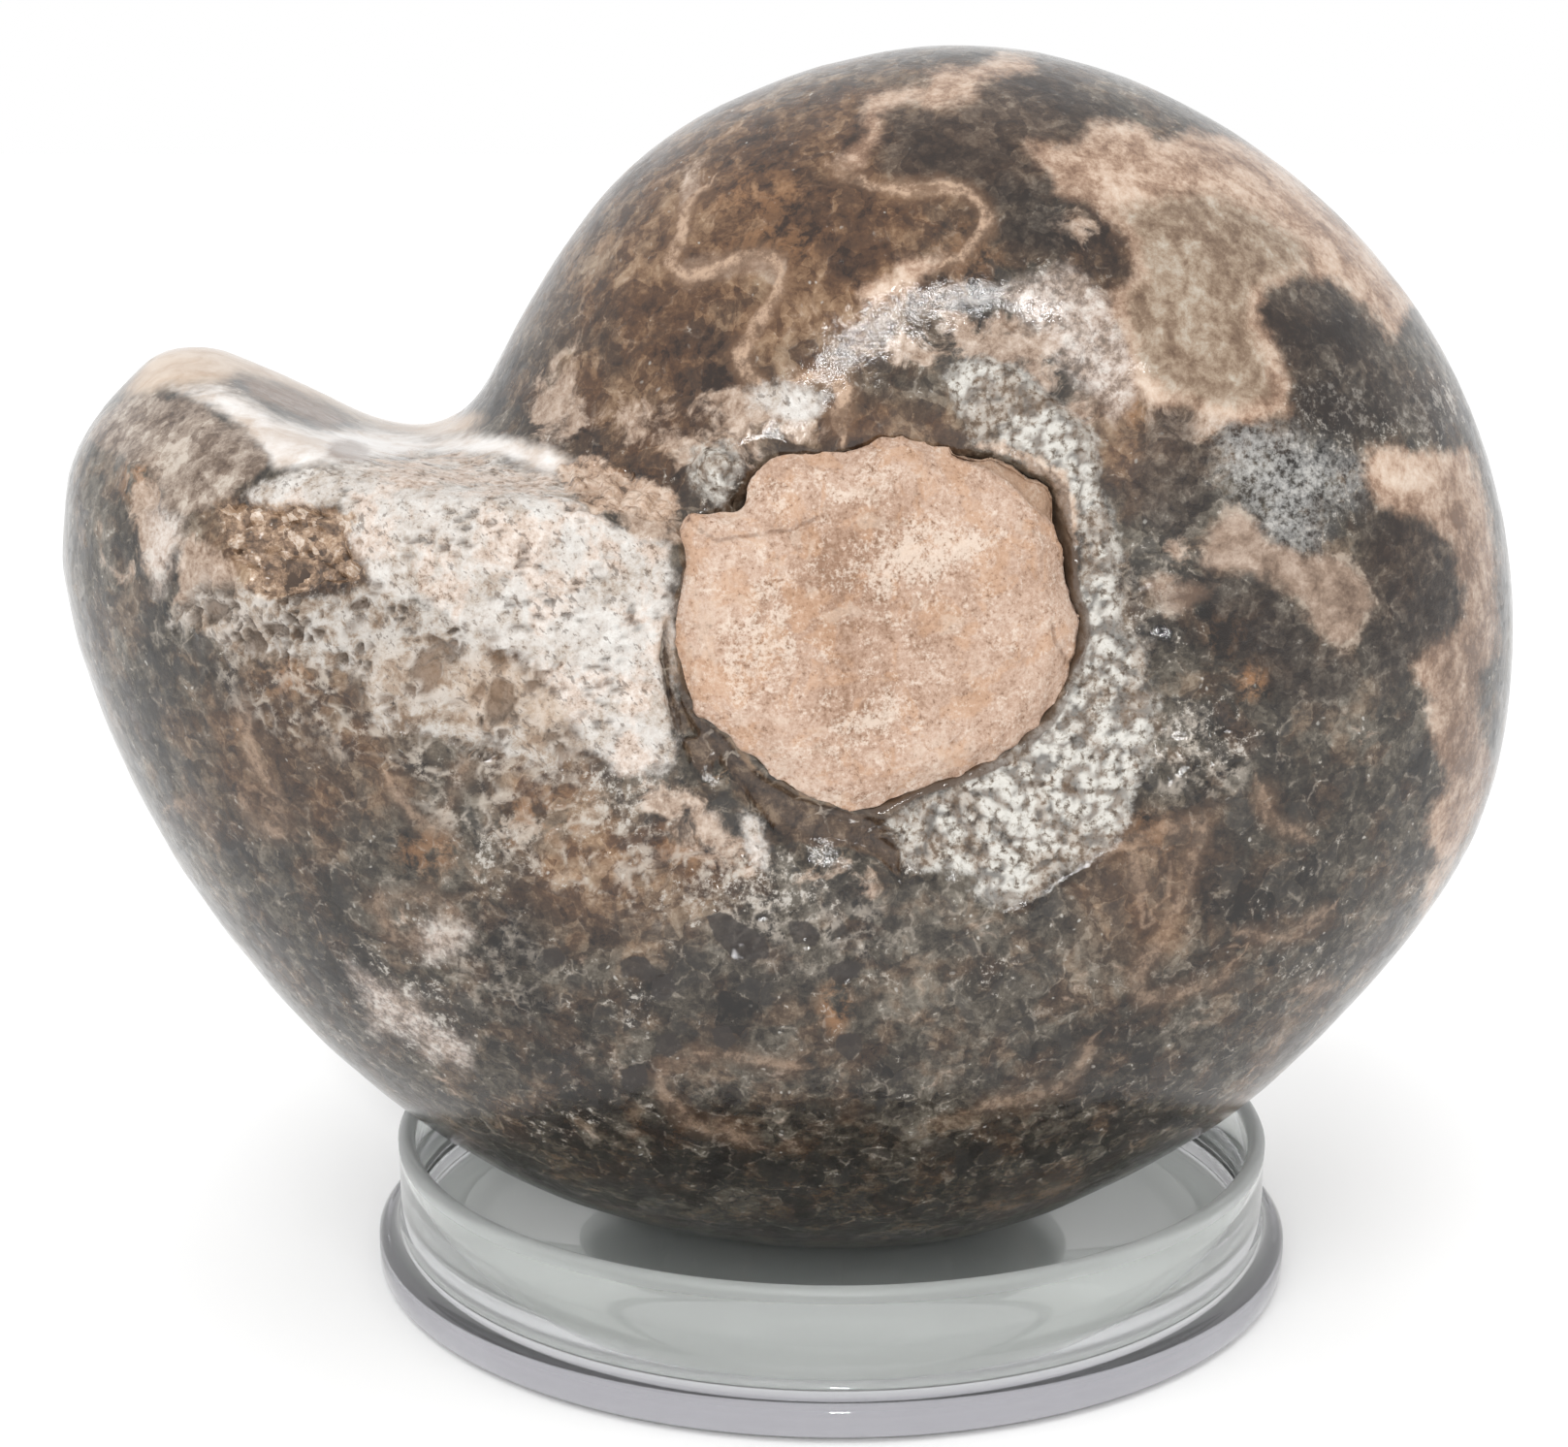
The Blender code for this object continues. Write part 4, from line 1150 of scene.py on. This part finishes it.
def aimLight(light, direction, place=(0.0, 0.0, 0.0)):
    holder = bpy.data.objects.new(light.name, light)
    holder.location = place
    holder.rotation_euler = Vector(direction).to_track_quat("-Z", "Y").to_euler()
    bpy.context.scene.collection.objects.link(holder)
    return holder


def makeStudio(look):
    data = bpy.data.meshes.new("paleFloor")
    work = bmesh.new()
    bmesh.ops.create_grid(work, x_segments=1, y_segments=1, size=look["floorReach"])
    work.to_mesh(data)
    work.free()
    floor = bpy.data.objects.new("paleFloor", data)
    floor.location = (0.0, 0.0, -look["floorDrop"])
    bpy.context.scene.collection.objects.link(floor)
    material, shader = startMaterial("paleFloor")
    shader.inputs["Base Color"].default_value = colour(*look["floorTone"])
    shader.inputs["Roughness"].default_value = 0.9
    data.materials.append(material)
    world = bpy.data.worlds.new("studioWorld")
    world.use_nodes = True
    backdrop = world.node_tree.nodes["Background"]
    backdrop.inputs["Color"].default_value = (1.0, 1.0, 1.0, 1.0)
    backdrop.inputs["Strength"].default_value = look["worldStrength"]
    bpy.context.scene.world = world
    sun = bpy.data.lights.new("softSun", "SUN")
    sun.energy = look["sun"]["strength"]
    sun.angle = math.radians(look["sun"]["spreadDegrees"])
    aimLight(sun, -Vector(look["sun"]["from"])).visible_glossy = False
    lamp = look["lamp"]
    softBox = bpy.data.lights.new("softBox", "AREA")
    softBox.shape = "RECTANGLE"
    softBox.size, softBox.size_y = lamp["size"]
    softBox.energy = lamp["power"]
    aimLight(softBox, Vector(lamp["aim"]) - Vector(lamp["at"]), lamp["at"])
    bpy.context.scene.view_settings.view_transform = "Standard"
    print("studio ready")


addCamera(photoView)
nearPlug = startPlug("matrix_plug_front", "sandstoneFront", plugLook)
farPlug = startPlug("matrix_plug_back", "sandstoneBack", plugLook)
rimWarp = plugWarp(nearPlug, photoView)
makeAmmonite(ammoniteLook, photoView, rimWarp)
sandstone = sandstoneMaterial()
finishPlug(nearPlug, "matrix_plug_front", sandstone, plugLook, photoView, rimWarp)
finishPlug(farPlug, "matrix_plug_back", sandstone, plugLook, photoView, rimWarp)
makeDish(dishLook)
makeStudio(studio)
